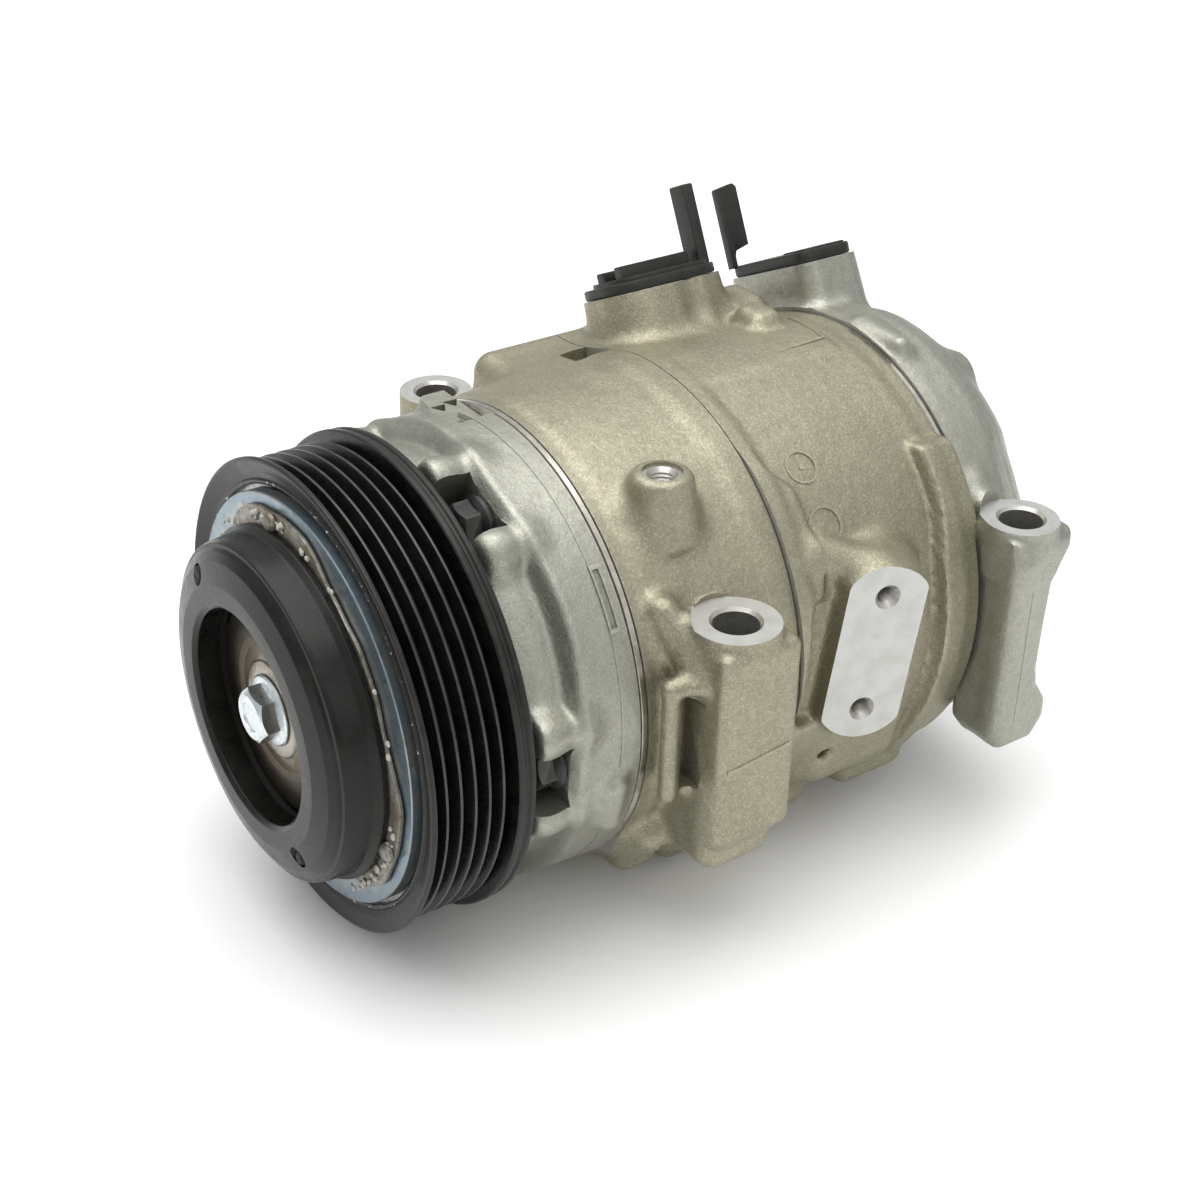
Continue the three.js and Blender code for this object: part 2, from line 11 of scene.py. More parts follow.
import bmesh
import bpy
import numpy as np
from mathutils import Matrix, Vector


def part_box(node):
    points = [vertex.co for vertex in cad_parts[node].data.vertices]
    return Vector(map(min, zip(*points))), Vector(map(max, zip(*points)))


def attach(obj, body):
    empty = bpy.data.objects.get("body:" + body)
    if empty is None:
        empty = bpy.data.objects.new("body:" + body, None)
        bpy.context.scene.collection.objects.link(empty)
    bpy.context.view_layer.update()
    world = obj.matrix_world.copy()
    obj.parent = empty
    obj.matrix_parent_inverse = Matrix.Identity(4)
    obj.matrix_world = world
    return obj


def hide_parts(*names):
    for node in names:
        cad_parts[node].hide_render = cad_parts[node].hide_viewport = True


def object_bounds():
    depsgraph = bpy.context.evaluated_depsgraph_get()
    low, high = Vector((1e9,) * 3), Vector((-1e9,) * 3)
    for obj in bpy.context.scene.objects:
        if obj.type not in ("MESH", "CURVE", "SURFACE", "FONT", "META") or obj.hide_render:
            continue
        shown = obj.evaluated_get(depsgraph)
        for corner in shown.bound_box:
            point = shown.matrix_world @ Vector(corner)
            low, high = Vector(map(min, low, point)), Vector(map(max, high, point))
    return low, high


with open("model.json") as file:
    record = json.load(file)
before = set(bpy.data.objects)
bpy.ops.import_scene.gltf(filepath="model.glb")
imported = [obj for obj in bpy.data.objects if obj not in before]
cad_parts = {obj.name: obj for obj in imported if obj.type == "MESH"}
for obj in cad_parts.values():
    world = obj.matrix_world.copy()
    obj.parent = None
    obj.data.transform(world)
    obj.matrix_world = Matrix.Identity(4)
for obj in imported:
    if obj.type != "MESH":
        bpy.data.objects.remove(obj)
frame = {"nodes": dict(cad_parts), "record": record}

import openvdb
from mathutils import Matrix, Vector

CAD_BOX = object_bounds()
MM = 0.001
SHAFT_FRONT = -6.6                     # front end of the shaft, in shaft coordinates
shaft_low, shaft_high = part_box("shaft")
ORIGIN = Vector((
    (shaft_low.x + shaft_high.x) / 2,
    shaft_low.y - SHAFT_FRONT * MM,
    (shaft_low.z + shaft_high.z) / 2,
))

STEP = 0.75     # voxel of the castings, mm

BOLT_ANGLES = [-4.5 + 72 * k for k in range(5)]
BOLT_CIRCLE, BOLT_HOLE = 47, 3.6
PISTON_ANGLES = [31.5 + 72 * k for k in range(5)]
PISTON_CIRCLE, PISTON_BORE = 36, 16
CHAMBER = 43.2                         # radius of the hollow between the cylinders and the crank
RIVET_ANGLES = [98, -22, -142]
RIVET_CIRCLE = 44.2
VALVE = (38, -9)                       # x and z of the relief valve
THREADED_BOSS = (37, 71.5)
THREADED_FACE = 53.7
VALVE_FACE = 186.9
PIN_PLACES = ((34.6, 127.4), (33.6, -50))

# Planes across the shaft, where the castings and the two valve plates meet.
FRONT_SEAT, FRONT_PLATE, BLOCK_FRONT = 53.1, (53.4, 55.0), 55.3
BLOCK_JOINT = (96.35, 96.65)
BLOCK_REAR, REAR_PLATE, REAR_SEAT = 152.0, (152.3, 155.7), 156.0

TILT = math.radians(26)
LUG_TOP, LUG_BOTTOM = 27.5, -34
FRONT_LUG, REAR_LUG, FAR_LUG = (62, 74.4), (62, 162.3), (-76, 81.1)


# ---------------------------------------------------------------- meshes

def polar(radius, degrees):
    angle = math.radians(degrees)
    return radius * math.cos(angle), radius * math.sin(angle)


def make(name, vertices, faces):
    """A work object in millimetres, with its faces turned outwards."""
    mesh = bpy.data.meshes.new(name)
    mesh.from_pydata([tuple(v) for v in vertices], [], faces)
    bm = bmesh.new()
    bm.from_mesh(mesh)
    if bm.calc_volume(signed=True) < 0:
        bmesh.ops.reverse_faces(bm, faces=bm.faces)
    bm.to_mesh(mesh)
    bm.free()
    obj = bpy.data.objects.new(name, mesh)
    bpy.context.scene.collection.objects.link(obj)
    return obj


def soften(outline, steps=4):
    """Rounds the corners of a closed outline of (u, v) or (u, v, radius) points."""
    result = []
    count = len(outline)
    for i, corner in enumerate(outline):
        here = Vector(corner[:2])
        radius = corner[2] if len(corner) > 2 else 0
        if radius <= 0:
            result.append(tuple(here))
            continue
        before = Vector(outline[i - 1][:2]) - here
        after = Vector(outline[(i + 1) % count][:2]) - here
        half = before.angle(after) / 2
        reach = min(radius / math.tan(half), before.length * 0.48, after.length * 0.48)
        start, end = here + before.normalized() * reach, here + after.normalized() * reach
        for k in range(steps + 1):
            t = k / steps
            point = start * (1 - t) ** 2 + here * 2 * t * (1 - t) + end * t ** 2
            result.append(tuple(point))
    return result


def lathe(outline, segments=96, place=None, name="turned", steps=4):
    """A closed outline of (radius, height[, fillet]) points turned about local Y."""
    points = soften(outline, steps)
    vertices, rings = [], []
    for radius, height in points:
        if radius < 1e-6:
            rings.append([len(vertices)] * segments)
            vertices.append((0, height, 0))
            continue
        start = len(vertices)
        for k in range(segments):
            angle = 2 * math.pi * k / segments
            vertices.append((radius * math.cos(angle), height, radius * math.sin(angle)))
        rings.append(list(range(start, start + segments)))
    faces = []
    for a, b in zip(rings, rings[1:] + rings[:1]):
        if a[0] == a[1] and b[0] == b[1]:
            continue
        for k in range(segments):
            corner = [a[k], a[(k + 1) % segments], b[(k + 1) % segments], b[k]]
            face = list(dict.fromkeys(corner))
            if len(face) > 2:
                faces.append(face)
    if place is not None:
        vertices = [place @ Vector(v) for v in vertices]
    return make(name, vertices, faces)


def prism(outline, depth, place, name="prism", steps=4):
    """An outline in local XY raised along local Z."""
    points = soften(outline, steps)
    count = len(points)
    vertices = [place @ Vector((u, v, w)) for w in (0, depth) for u, v in points]
    faces = [list(range(count))[::-1], list(range(count, 2 * count))]
    faces += [[i, (i + 1) % count, count + (i + 1) % count, count + i] for i in range(count)]
    return make(name, vertices, faces)


def rectangle(half_u, half_v, corner):
    return [(half_u, -half_v, corner), (half_u, half_v, corner),
            (-half_u, half_v, corner), (-half_u, -half_v, corner)]


def box(low, high, name="box"):
    size = [b - a for a, b in zip(low, high)]
    outline = [(0, 0), (size[0], 0), (size[0], size[1]), (0, size[1])]
    return prism(outline, size[2], Matrix.Translation(low), name)


def sector(radii, heights, angles, name="sector", steps=24):
    """A curved block about the shaft between two radii, two heights and two angles."""
    vertices, faces = [], []
    for k in range(steps + 1):
        angle = angles[0] + (angles[1] - angles[0]) * k / steps
        for radius, height in ((radii[0], heights[0]), (radii[1], heights[0]),
                               (radii[1], heights[1]), (radii[0], heights[1])):
            x, z = polar(radius, angle)
            vertices.append((x, height, z))
    for k in range(steps):
        a = 4 * k
        faces += [[a + j, a + (j + 1) % 4, a + 4 + (j + 1) % 4, a + 4 + j] for j in range(4)]
    last = 4 * steps
    faces += [[3, 2, 1, 0], [last, last + 1, last + 2, last + 3]]
    return make(name, vertices, faces)


def strip(points, width, height, name="strip"):
    """A thin raised line along points; each point carries its outward direction."""
    vertices, faces = [], []
    count = len(points)
    for i, (point, out) in enumerate(points):
        here, out = Vector(point), Vector(out).normalized()
        along = Vector(points[min(i + 1, count - 1)][0]) - Vector(points[max(i - 1, 0)][0])
        side = along.cross(out).normalized()
        for across, up in ((-width, -1), (width, -1), (width * 0.4, height), (-width * 0.4, height)):
            vertices.append(here + side * across + out * up)
    for k in range(count - 1):
        a = 4 * k
        faces += [[a + j, a + (j + 1) % 4, a + 4 + (j + 1) % 4, a + 4 + j] for j in range(4)]
    last = 4 * (count - 1)
    faces += [[3, 2, 1, 0], [last, last + 1, last + 2, last + 3]]
    return make(name, vertices, faces)


def on_barrel(radius, y, degrees):
    x, z = polar(radius, degrees)
    return (x, y, z), (x, 0, z)


def upright(x, y, z=0.0):
    """Places local Y along +Z at (x, y, z)."""
    return Matrix.Translation((x, y, z)) @ Matrix.Rotation(math.pi / 2, 4, "X")


def axial(x, z, y=0.0):
    return Matrix.Translation((x, y, z))


def aim(point, direction):
    """Places local Y along a direction at a point."""
    turn = Vector((0, 1, 0)).rotation_difference(Vector(direction))
    return Matrix.Translation(point) @ turn.to_matrix().to_4x4()


def rod(radius, start, end, place, segments=48, name="rod"):
    return lathe([(0, start), (radius, start), (radius, end), (0, end)], segments, place, name)


def apply_modifiers(obj):
    depsgraph = bpy.context.evaluated_depsgraph_get()
    mesh = bpy.data.meshes.new_from_object(obj.evaluated_get(depsgraph))
    obj.modifiers.clear()
    obj.data = mesh


def combine(obj, others, operation):
    """Joins or cuts work objects, and removes the tools."""
    for other in others:
        step = obj.modifiers.new("combine", "BOOLEAN")
        step.operation = operation
        step.solver = "MANIFOLD"
        step.object = other
    before = len(obj.data.polygons)
    apply_modifiers(obj)
    if len(obj.data.polygons) == 0:
        raise RuntimeError(f"{obj.name}: the boolean left nothing of {before} faces")
    for other in others:
        bpy.data.objects.remove(other)
    return obj


def cut(obj, *tools):
    return combine(obj, tools, "DIFFERENCE")


def join(obj, *others):
    return combine(obj, others, "UNION")


def keep(obj, *others):
    return combine(obj, others, "INTERSECT")


def bevel(obj, width, segments=3, angle=40):
    step = obj.modifiers.new("bevel", "BEVEL")
    step.width = width
    step.segments = segments
    step.limit_method = "ANGLE"
    step.angle_limit = math.radians(angle)
    step.harden_normals = False
    apply_modifiers(obj)
    return obj


def finish_piece(obj, name, body, nodes, looks, rule=None, angle=35):
    """Moves a work object into the row frame, paints it and hangs it on its body."""
    mesh = obj.data
    mesh.transform(Matrix.Translation(ORIGIN) @ Matrix.Scale(MM, 4))
    obj.name = name
    mesh.name = name
    mesh.materials.clear()
    for look in looks:
        mesh.materials.append(look)
    indices = np.zeros(len(mesh.polygons), np.int32)
    if rule is not None:
        centres = np.zeros(len(mesh.polygons) * 3, np.float32)
        normals = np.zeros(len(mesh.polygons) * 3, np.float32)
        mesh.polygons.foreach_get("center", centres)
        mesh.polygons.foreach_get("normal", normals)
        centres = (centres.reshape(-1, 3) - np.array(ORIGIN)) / MM
        indices = rule(centres, normals.reshape(-1, 3)).astype(np.int32)
    mesh.polygons.foreach_set("material_index", indices)
    mesh.polygons.foreach_set("use_smooth", np.ones(len(mesh.polygons), bool))
    mesh.set_sharp_from_angle(angle=math.radians(angle))
    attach(obj, body)
    if nodes:
        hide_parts(*nodes)
    return obj


# ---------------------------------------------------------------- castings as distance fields

def smooth_min(a, b, blend):
    near = np.maximum(blend - np.abs(a - b), 0) / blend
    return np.minimum(a, b) - near * near * blend / 4


def ease(value, low, high):
    t = np.clip((value - low) / (high - low), 0, 1)
    return t * t * (3 - 2 * t)


class Cast:
    """A casting as a grid of distances to its skin."""

    FAR = 9.0

    def __init__(self, low, high):
        self.low = np.array(low, float)
        self.axes = [np.arange(a, b, STEP).astype(np.float32) for a, b in zip(low, high)]
        self.field = np.full([len(a) for a in self.axes], self.FAR, np.float32)

    def window(self, low, high, pad):
        cuts = []
        for axis, a, b in zip(self.axes, low, high):
            cuts.append(slice(int(np.searchsorted(axis, a - pad)),
                              int(np.searchsorted(axis, b + pad, side="right"))))
        grids = np.meshgrid(*[axis[c] for axis, c in zip(self.axes, cuts)],
                            indexing="ij", sparse=True)
        return tuple(cuts), grids

    def add(self, shape, blend=2.0):
        distance, low, high = shape
        cuts, grids = self.window(low, high, blend + 2 * STEP)
        self.field[cuts] = smooth_min(self.field[cuts], distance(*grids), blend)

    def take(self, shape, blend=1.0):
        distance, low, high = shape
        cuts, grids = self.window(low, high, blend + 2 * STEP)
        self.field[cuts] = -smooth_min(-self.field[cuts], distance(*grids), blend)

    def skin(self, name):
        grid = openvdb.FloatGrid(3 * STEP)
        grid.copyFromArray(np.clip(self.field, -3 * STEP, 3 * STEP))
        points, triangles, quads = grid.convertToPolygons(isovalue=0.0, adaptivity=0.0)
        points = points * STEP + self.low
        faces = [list(map(int, f)) for f in triangles] + [list(map(int, f)) for f in quads]
        return make(name, points, faces)


EVERYWHERE = ((-999,) * 3, (999,) * 3)


def barrel(radius_at):
    """A body of revolution whose radius depends on height and angle (degrees)."""
    def distance(x, y, z):
        rho = np.sqrt(x * x + z * z)
        theta = np.degrees(np.arctan2(z, x))
        return rho - radius_at(y, theta) + 0 * y
    return distance, *EVERYWHERE


def local(place, x, y, z):
    back = np.array(place.inverted(), np.float32)
    return [back[i, 0] * x + back[i, 1] * y + back[i, 2] * z + back[i, 3] for i in range(3)]


def bounds_of(place, low, high):
    corners = np.array([place @ Vector((a, b, c)) for a in (low[0], high[0])
                        for b in (low[1], high[1]) for c in (low[2], high[2])])
    return corners.min(0), corners.max(0)


def rounded_max(parts, edge):
    """The distance to the overlap of parts, with its outer edges rounded."""
    raised = [p + edge for p in parts]
    outside = np.sqrt(sum(np.maximum(p, 0) ** 2 for p in raised))
    inside = raised[0]
    for p in raised[1:]:
        inside = np.maximum(inside, p)
    return outside + np.minimum(inside, 0) - edge


def brick(low, high, edge=2.0, place=None):
    """A box between two corners, its edges rounded."""
    place = place or Matrix()
    middle = [(a + b) / 2 for a, b in zip(low, high)]
    half = [(b - a) / 2 for a, b in zip(low, high)]

    def distance(x, y, z):
        p = local(place, x, y, z)
        return rounded_max([np.abs(p[i] - middle[i]) - half[i] for i in range(3)], edge)
    return distance, *bounds_of(place, low, high)


def stud(start, end, r_start, r_end, edge=1.0):
    """A round boss from one point to another, its ends rounded."""
    a, b = np.array(start, float), np.array(end, float)
    length = float(np.linalg.norm(b - a))
    axis = (b - a) / length

    def distance(x, y, z):
        u, v, w = x - a[0], y - a[1], z - a[2]
        t = u * axis[0] + v * axis[1] + w * axis[2]
        rho = np.sqrt(np.maximum(u * u + v * v + w * w - t * t, 0))
        radius = r_start + (r_end - r_start) * np.clip(t / length, 0, 1)
        return rounded_max([rho - radius, np.abs(t - length / 2) - length / 2], edge)
    reach = max(r_start, r_end)
    return distance, np.minimum(a, b) - reach, np.maximum(a, b) + reach


def boss(place, half_u, half_v, corner, depth, draft=0.0, edge=1.0):
    """A rounded-rectangle boss below local z = 0, which widens by draft as it goes down."""
    def distance(x, y, z):
        u, v, w = local(place, x, y, z)
        grow = draft * np.maximum(-w, 0)
        a = np.abs(u) - half_u - grow + corner
        b = np.abs(v) - half_v - grow + corner
        flat = np.sqrt(np.maximum(a, 0) ** 2 + np.maximum(b, 0) ** 2)
        flat = flat + np.minimum(np.maximum(a, b), 0) - corner
        return rounded_max([flat, np.abs(w + depth / 2) - depth / 2], edge)
    spread = draft * depth
    low = (-half_u - spread, -half_v - spread, -depth)
    return distance, *bounds_of(place, low, (half_u + spread, half_v + spread, 0))


def pad_boss(place, depth, draft):
    """The sensor pad: straight long sides and shallow arcs for ends, widening as it goes down."""
    half_width, arc, arc_centre = 9.9, 12.3, 10.7

    def distance(x, y, z):
        u, v, w = local(place, x, y, z)
        grow = draft * np.maximum(-w, 0)
        sides = np.abs(u) - half_width - grow
        ends = np.hypot(u, np.maximum(np.abs(v) - arc_centre, 0)) - arc - grow
        flat = rounded_max([sides, ends], 0.4)
        return rounded_max([flat, np.abs(w + depth / 2) - depth / 2], 0.6)
    reach_u, reach_v = half_width + draft * depth, arc_centre + arc + draft * depth
    return distance, *bounds_of(place, (-reach_u, -reach_v, -depth), (reach_u, reach_v, 0))


def profile(outline, axis, start, end, edge=1.5):
    """A polygon in the plane across an axis (0 = x, 1 = y, 2 = z), raised between two planes."""
    first, second = [i for i in range(3) if i != axis]
    points = np.array(outline, np.float32)

    def distance(*p):
        u, v, w = p[first], p[second], p[axis]
        best, inside = None, None
        for i in range(len(points)):
            ax, ay = points[i - 1]
            bx, by = points[i]
            ex, ey = bx - ax, by - ay
            t = np.clip(((u - ax) * ex + (v - ay) * ey) / (ex * ex + ey * ey), 0, 1)
            away = (u - ax - t * ex) ** 2 + (v - ay - t * ey) ** 2
            best = away if best is None else np.minimum(best, away)
            crosses = ((ay > v) != (by > v))
            hit = crosses & (u < (bx - ax) * (v - ay) / ((by - ay) or 1e-9) + ax)
            inside = hit if inside is None else inside ^ hit
        flat = np.sqrt(best) * np.where(inside, -1, 1)
        return rounded_max([flat + 0 * w, np.abs(w - (start + end) / 2) - (end - start) / 2], edge)
    low, high = np.zeros(3), np.zeros(3)
    low[[first, second]], high[[first, second]] = points.min(0), points.max(0)
    low[axis], high[axis] = start, end
    return distance, low, high


def capsule(start, end, radius):
    a, b = np.array(start, float), np.array(end, float)
    line = b - a

    def distance(x, y, z):
        u, v, w = x - a[0], y - a[1], z - a[2]
        t = np.clip((u * line[0] + v * line[1] + w * line[2]) / float(line @ line), 0, 1)
        return np.sqrt((u - t * line[0]) ** 2 + (v - t * line[1]) ** 2 + (w - t * line[2]) ** 2) - radius
    return distance, np.minimum(a, b) - radius, np.maximum(a, b) + radius


# ---------------------------------------------------------------- port frames

def port_place(y, height, offset, x=0.0, along=0.0, out=0.0):
    """The frame of a port face: local X across, local Y along the shaft, local Z out."""
    across = Vector((math.cos(TILT), 0, math.sin(TILT)))
    outward = Vector((-math.sin(TILT), 0, math.cos(TILT)))
    centre = outward * (height + out) + across * (offset + x) + Vector((0, y + along, 0))
    turn = Matrix((across, Vector((0, 1, 0)), outward)).transposed()
    return Matrix.Translation(centre) @ turn.to_4x4()


FRONT_PORT = {"y": 119, "height": 71.5, "offset": -1}
REAR_PORT = {"y": 166, "height": 68, "offset": -2.5}
PAD_TURN, PAD_LEAN = -17.7, 7.0
PAD_HOLES = (-15.3, 15.3)


def pad_place(depth=0.0):
    """The sensor pad's face: local X along the shaft, local Y up, local Z out."""
    face = Matrix(((0, 0, 1), (1, 0, 0), (0, 1, 0))).to_4x4()
    return (Matrix.Translation((62.8, 117, 4.6))
            @ Matrix.Rotation(math.radians(PAD_TURN), 4, "Z") @ face
            @ Matrix.Rotation(math.radians(-PAD_LEAN), 4, "Z")
            @ Matrix.Translation((0, 0, depth)))


def lug_tools(x, y, radius):
    """Mills a lug's two faces and bores it."""
    bore = [(0, LUG_BOTTOM - 4), (6.6, LUG_BOTTOM - 4), (6.6, LUG_BOTTOM), (5.35, LUG_BOTTOM + 1.2),
            (5.35, LUG_TOP - 0.8), (6.1, LUG_TOP), (6.1, LUG_TOP + 3), (0, LUG_TOP + 3)]
    return [rod(radius, LUG_TOP, LUG_TOP + 20, upright(x, y), 96),
            rod(radius + 4, LUG_BOTTOM - 20, LUG_BOTTOM, upright(x, y), 96),
            lathe(bore, 64, upright(x, y))]


def bore_tools(radius, start, end, angles, circle, segments=48):
    return [rod(radius, start, end, axial(*polar(circle, a)), segments) for a in angles]


def bolt_holes(start, end):
    return bore_tools(BOLT_HOLE, start, end, BOLT_ANGLES, BOLT_CIRCLE, 24)


def cylinder_bores(start, end):
    return bore_tools(PISTON_BORE, start, end, PISTON_ANGLES, PISTON_CIRCLE, 64)


def slab(start, end, reach=140):
    """Everything between two planes across the shaft."""
    return box((-reach, start, -reach), (reach, end, reach))


def threads(radius, depth, pitch, place, segments=40):
    """A tapped hole: a bore with a ringed wall and a chamfered mouth, down from local y = 0."""
    outline = [(0, 1), (radius + 1.6, 1), (radius + 0.6, 0), (radius, -0.6)]
    level = -0.6
    while level > -depth:
        outline += [(radius - 0.45, level - pitch / 2), (radius, level - pitch)]
        level -= pitch
    outline.append((0, level))
    return lathe(outline, segments, place, "thread")


# ---------------------------------------------------------------- front housing

def front_housing():
    cast = Cast((-62, 22, -62), (62, 56, 62))

    def radius_at(y, theta):
        neck = 50.2 + 1.6 * ease(y, 26, 34)
        rim = 56.5 + 0.5 * ease(y, 41, 53)
        wave = 0.6 * np.cos(np.radians(5 * (theta + 4.5)))
        edge = 38.3 - 0.8 * np.cos(np.radians(5 * (theta + 4.5)))
        return neck + wave + (rim - neck - wave) * ease(y, edge - 2.4, edge + 1.1)
    cast.add(barrel(radius_at))
    for angle in BOLT_ANGLES:
        for side, reach, front in ((-1, 55.6, 25.5), (1, 56.2, 23.5)):
            spot = angle + side * 12.5
            x0, z0 = polar(40, spot)
            x1, z1 = polar(reach - 3.2, spot)
            cast.add(capsule((x1, front + 6, z1), (x1 * 1.01, 38, z1 * 1.01), 3.2), 6)
            cast.add(capsule((x0, front + 6, z0), (x1, front + 6, z1), 3.2), 6)
    cast.take(brick((-99, 18, -99), (99, 27.2, 99), 0), 1.6)
    cast.add(brick((-25.5, 45.6, 40), (-10, 59, 55.4), 2.0), 2.5)
    cast.add(capsule((55.6, 47, -10), (53.2, 47, -20), 3.2), 3)
    body = cast.skin("front_housing")

    nose = lathe([
        (8.9, 19), (14, 19), (14, 8.2), (14.6, 8.2), (14.6, 6.2), (14, 6.2), (14, 1.4),
        (19.4, 1.4), (20, 2), (20, 2.1), (19, 2.1), (19, 3.7), (20, 3.7), (20, 27.1),
        (30, 27.1), (30, 45), (8.9, 45),
    ], 72)
    collar = lathe([(19, 27.1), (46, 27.1), (48, 30), (48, 40), (19, 40)], 72)
    join(body, collar)
    cut(body, lathe([(0, 20), (20.1, 20), (20.1, 42), (0, 42)], 72))
    join(body, nose)
    tools = [slab(FRONT_SEAT, 80), box((-30, 44, 54.2), (-4, 62, 70))]
    join(body, sector((55, 57.35), (48.6, 51.2), (27.9, 43.6)))
    cut(body, sector((56.95, 60), (49.1, 50.7), (29, 42.4)))
    for angle in BOLT_ANGLES:
        x, z = polar(53, angle)
        place = (Matrix.Translation((x, 15, z))
                 @ Matrix.Rotation(-math.radians(angle) + math.pi / 2, 4, "Y")
                 @ Matrix.Rotation(-math.pi / 2, 4, "X"))
        tools.append(prism(rectangle(8.3, 14, 7.6), 21.3, place, steps=8))
    tools += bolt_holes(35, 56)
    tools.append(lathe([(18, 43), (43.5, 43), (43.5, 54), (18, 54)], 96))
    for x, y in ((-17.6, 47.6), (-18.6, 51.4)):
        notch = [(-1.3, 0), (0.9, 1.3), (0.9, -1.3)]
        lay = Matrix.Translation((x, y, 52.6)) @ Matrix.Rotation(math.radians(-62), 4, "Z")
        tools.append(prism([(u * 1.6, v * 1.6, 0.3) for u, v in notch], 4, lay))
    cut(body, *tools)
    line = [on_barrel(56.75, 48.1 + 0.9 * math.sin(math.radians(a * 2)), a) for a in range(-60, 101, 4)]
    join(body, strip(line, 0.5, 0.28))
    return body


# ---------------------------------------------------------------- cylinder blocks

def front_cylinder():
    cast = Cast((-90, 53, -64), (76, 99.5, 62))

    def radius_at(y, theta):
        rise = np.interp(y, [53, 58, 60, 88, 91.5, 96.5, 102], [57.1, 57.2, 57.9, 59.2, 59.9, 60, 60])
        return rise.astype(np.float32) + 0 * theta
    cast.add(barrel(radius_at))
    cast.add(stud((*THREADED_BOSS, 38), (*THREADED_BOSS, 54.4), 9.6, 7.0, 1.8), 3.5)
    cast.add(brick((26, 62, 40), (36, 69, 47.4), 3), 5)
    # the muffler chamber and its soft shoulders
    cast.add(brick((-46, 72, 20), (-17, 112, 52.5), 5.5), 5)
    cast.add(brick((-12, 80, 40), (2, 112, 56.6), 5), 6)
    # near lug: head, column, foot, web and its window
    cast.add(stud((62, 74.4, 10), (62, 74.4, LUG_TOP + 1.2), 10.5, 10.3, 0.5), 1.5)
    cast.add(brick((46, 64.0, -26), (72.2, 86.2, LUG_TOP - 2.6), 2.6), 1.8)
    cast.add(brick((46, 63.2, -34.5), (70.6, 83.4, -6), 5), 2.5)
    cast.add(brick((46, 80, -10), (64.5, 93.5, 6), 3), 3.5)
    cast.add(brick((44, 59, -15), (62.0, 72, 12.5), 2.2), 3)
    cast.add(capsule((61.2, 57.9, 14), (61.2, 57.9, -13), 2.2), 1.6)
    cast.add(capsule((60.8, 57.9, 15), (66, 66, 15.4), 2.0), 1.6)
    cast.add(capsule((52, 62, 29), (60, 64.5, 18), 3), 5)
    # feet and lower bumps
    cast.add(brick((30, 57.5, -49), (45, 70.5, -30), 4.5), 4)
    cast.add(capsule((43, 60, -38), (50, 62, -33), 4.5), 4)
    cast.add(brick((24, 74, -56), (40, 99.5, -40), 5), 6)
    # far lug with its arm
    cast.add(stud((*FAR_LUG, LUG_BOTTOM - 1), (*FAR_LUG, LUG_TOP + 1.1), 10.2, 9.8, 1.2), 2)
    cast.add(brick((-77, 74, -28), (-50, 88.5, 20), 4.5), 5)
    cast.add(brick((-68, 78, -31), (-50, 84.5, 25), 2.6), 4)
    cast.add(brick((-62, 72, -10), (-48, 93, 20), 5), 8)
    body = cast.skin("front_cylinder")
    window = Matrix.Translation((66.0, 60.3, -12.6)) @ Matrix.Rotation(-math.pi / 2, 4, "Y")
    tools = [
        slab(20, BLOCK_FRONT), slab(BLOCK_JOINT[0], 130),
        *lug_tools(*FRONT_LUG, 10.6), *lug_tools(*FAR_LUG, 10.3),
        rod(4.7, THREADED_FACE, 60, upright(*THREADED_BOSS)),
        threads(3.1, 11, 1.0, upright(*THREADED_BOSS, 53.8)),
        prism([(0, 0, 0.6), (25, 0, 0.6), (24, 3.6, 0.6), (1.5, 3.6, 0.6)], 7.4, window),
        # the pocket at the near edge of the muffler
        prism([(-28.5, 88.5, 0.8), (-18.5, 86.6, 0.8), (-17.5, 97.4, 0.3), (-28.5, 99, 0.8)], 20,
              Matrix.Translation((0, 0, 51.0))),
    ]
    tools += cylinder_bores(50, 100)
    tools.append(rod(CHAMBER, 77.5, 100, Matrix(), 96))
    tools.append(rod(9, 50, 80, Matrix()))
    tools.append(rod(13, 58, 79, Matrix()))
    tools += bolt_holes(50, 100)
    cut(body, *tools)
    ridge = [((72.1, y, -4.5 + 0.1 * (y - 64)), (1, 0, 0)) for y in range(66, 86, 3)]
    join(body, strip(ridge, 0.6, 0.4))
    return body


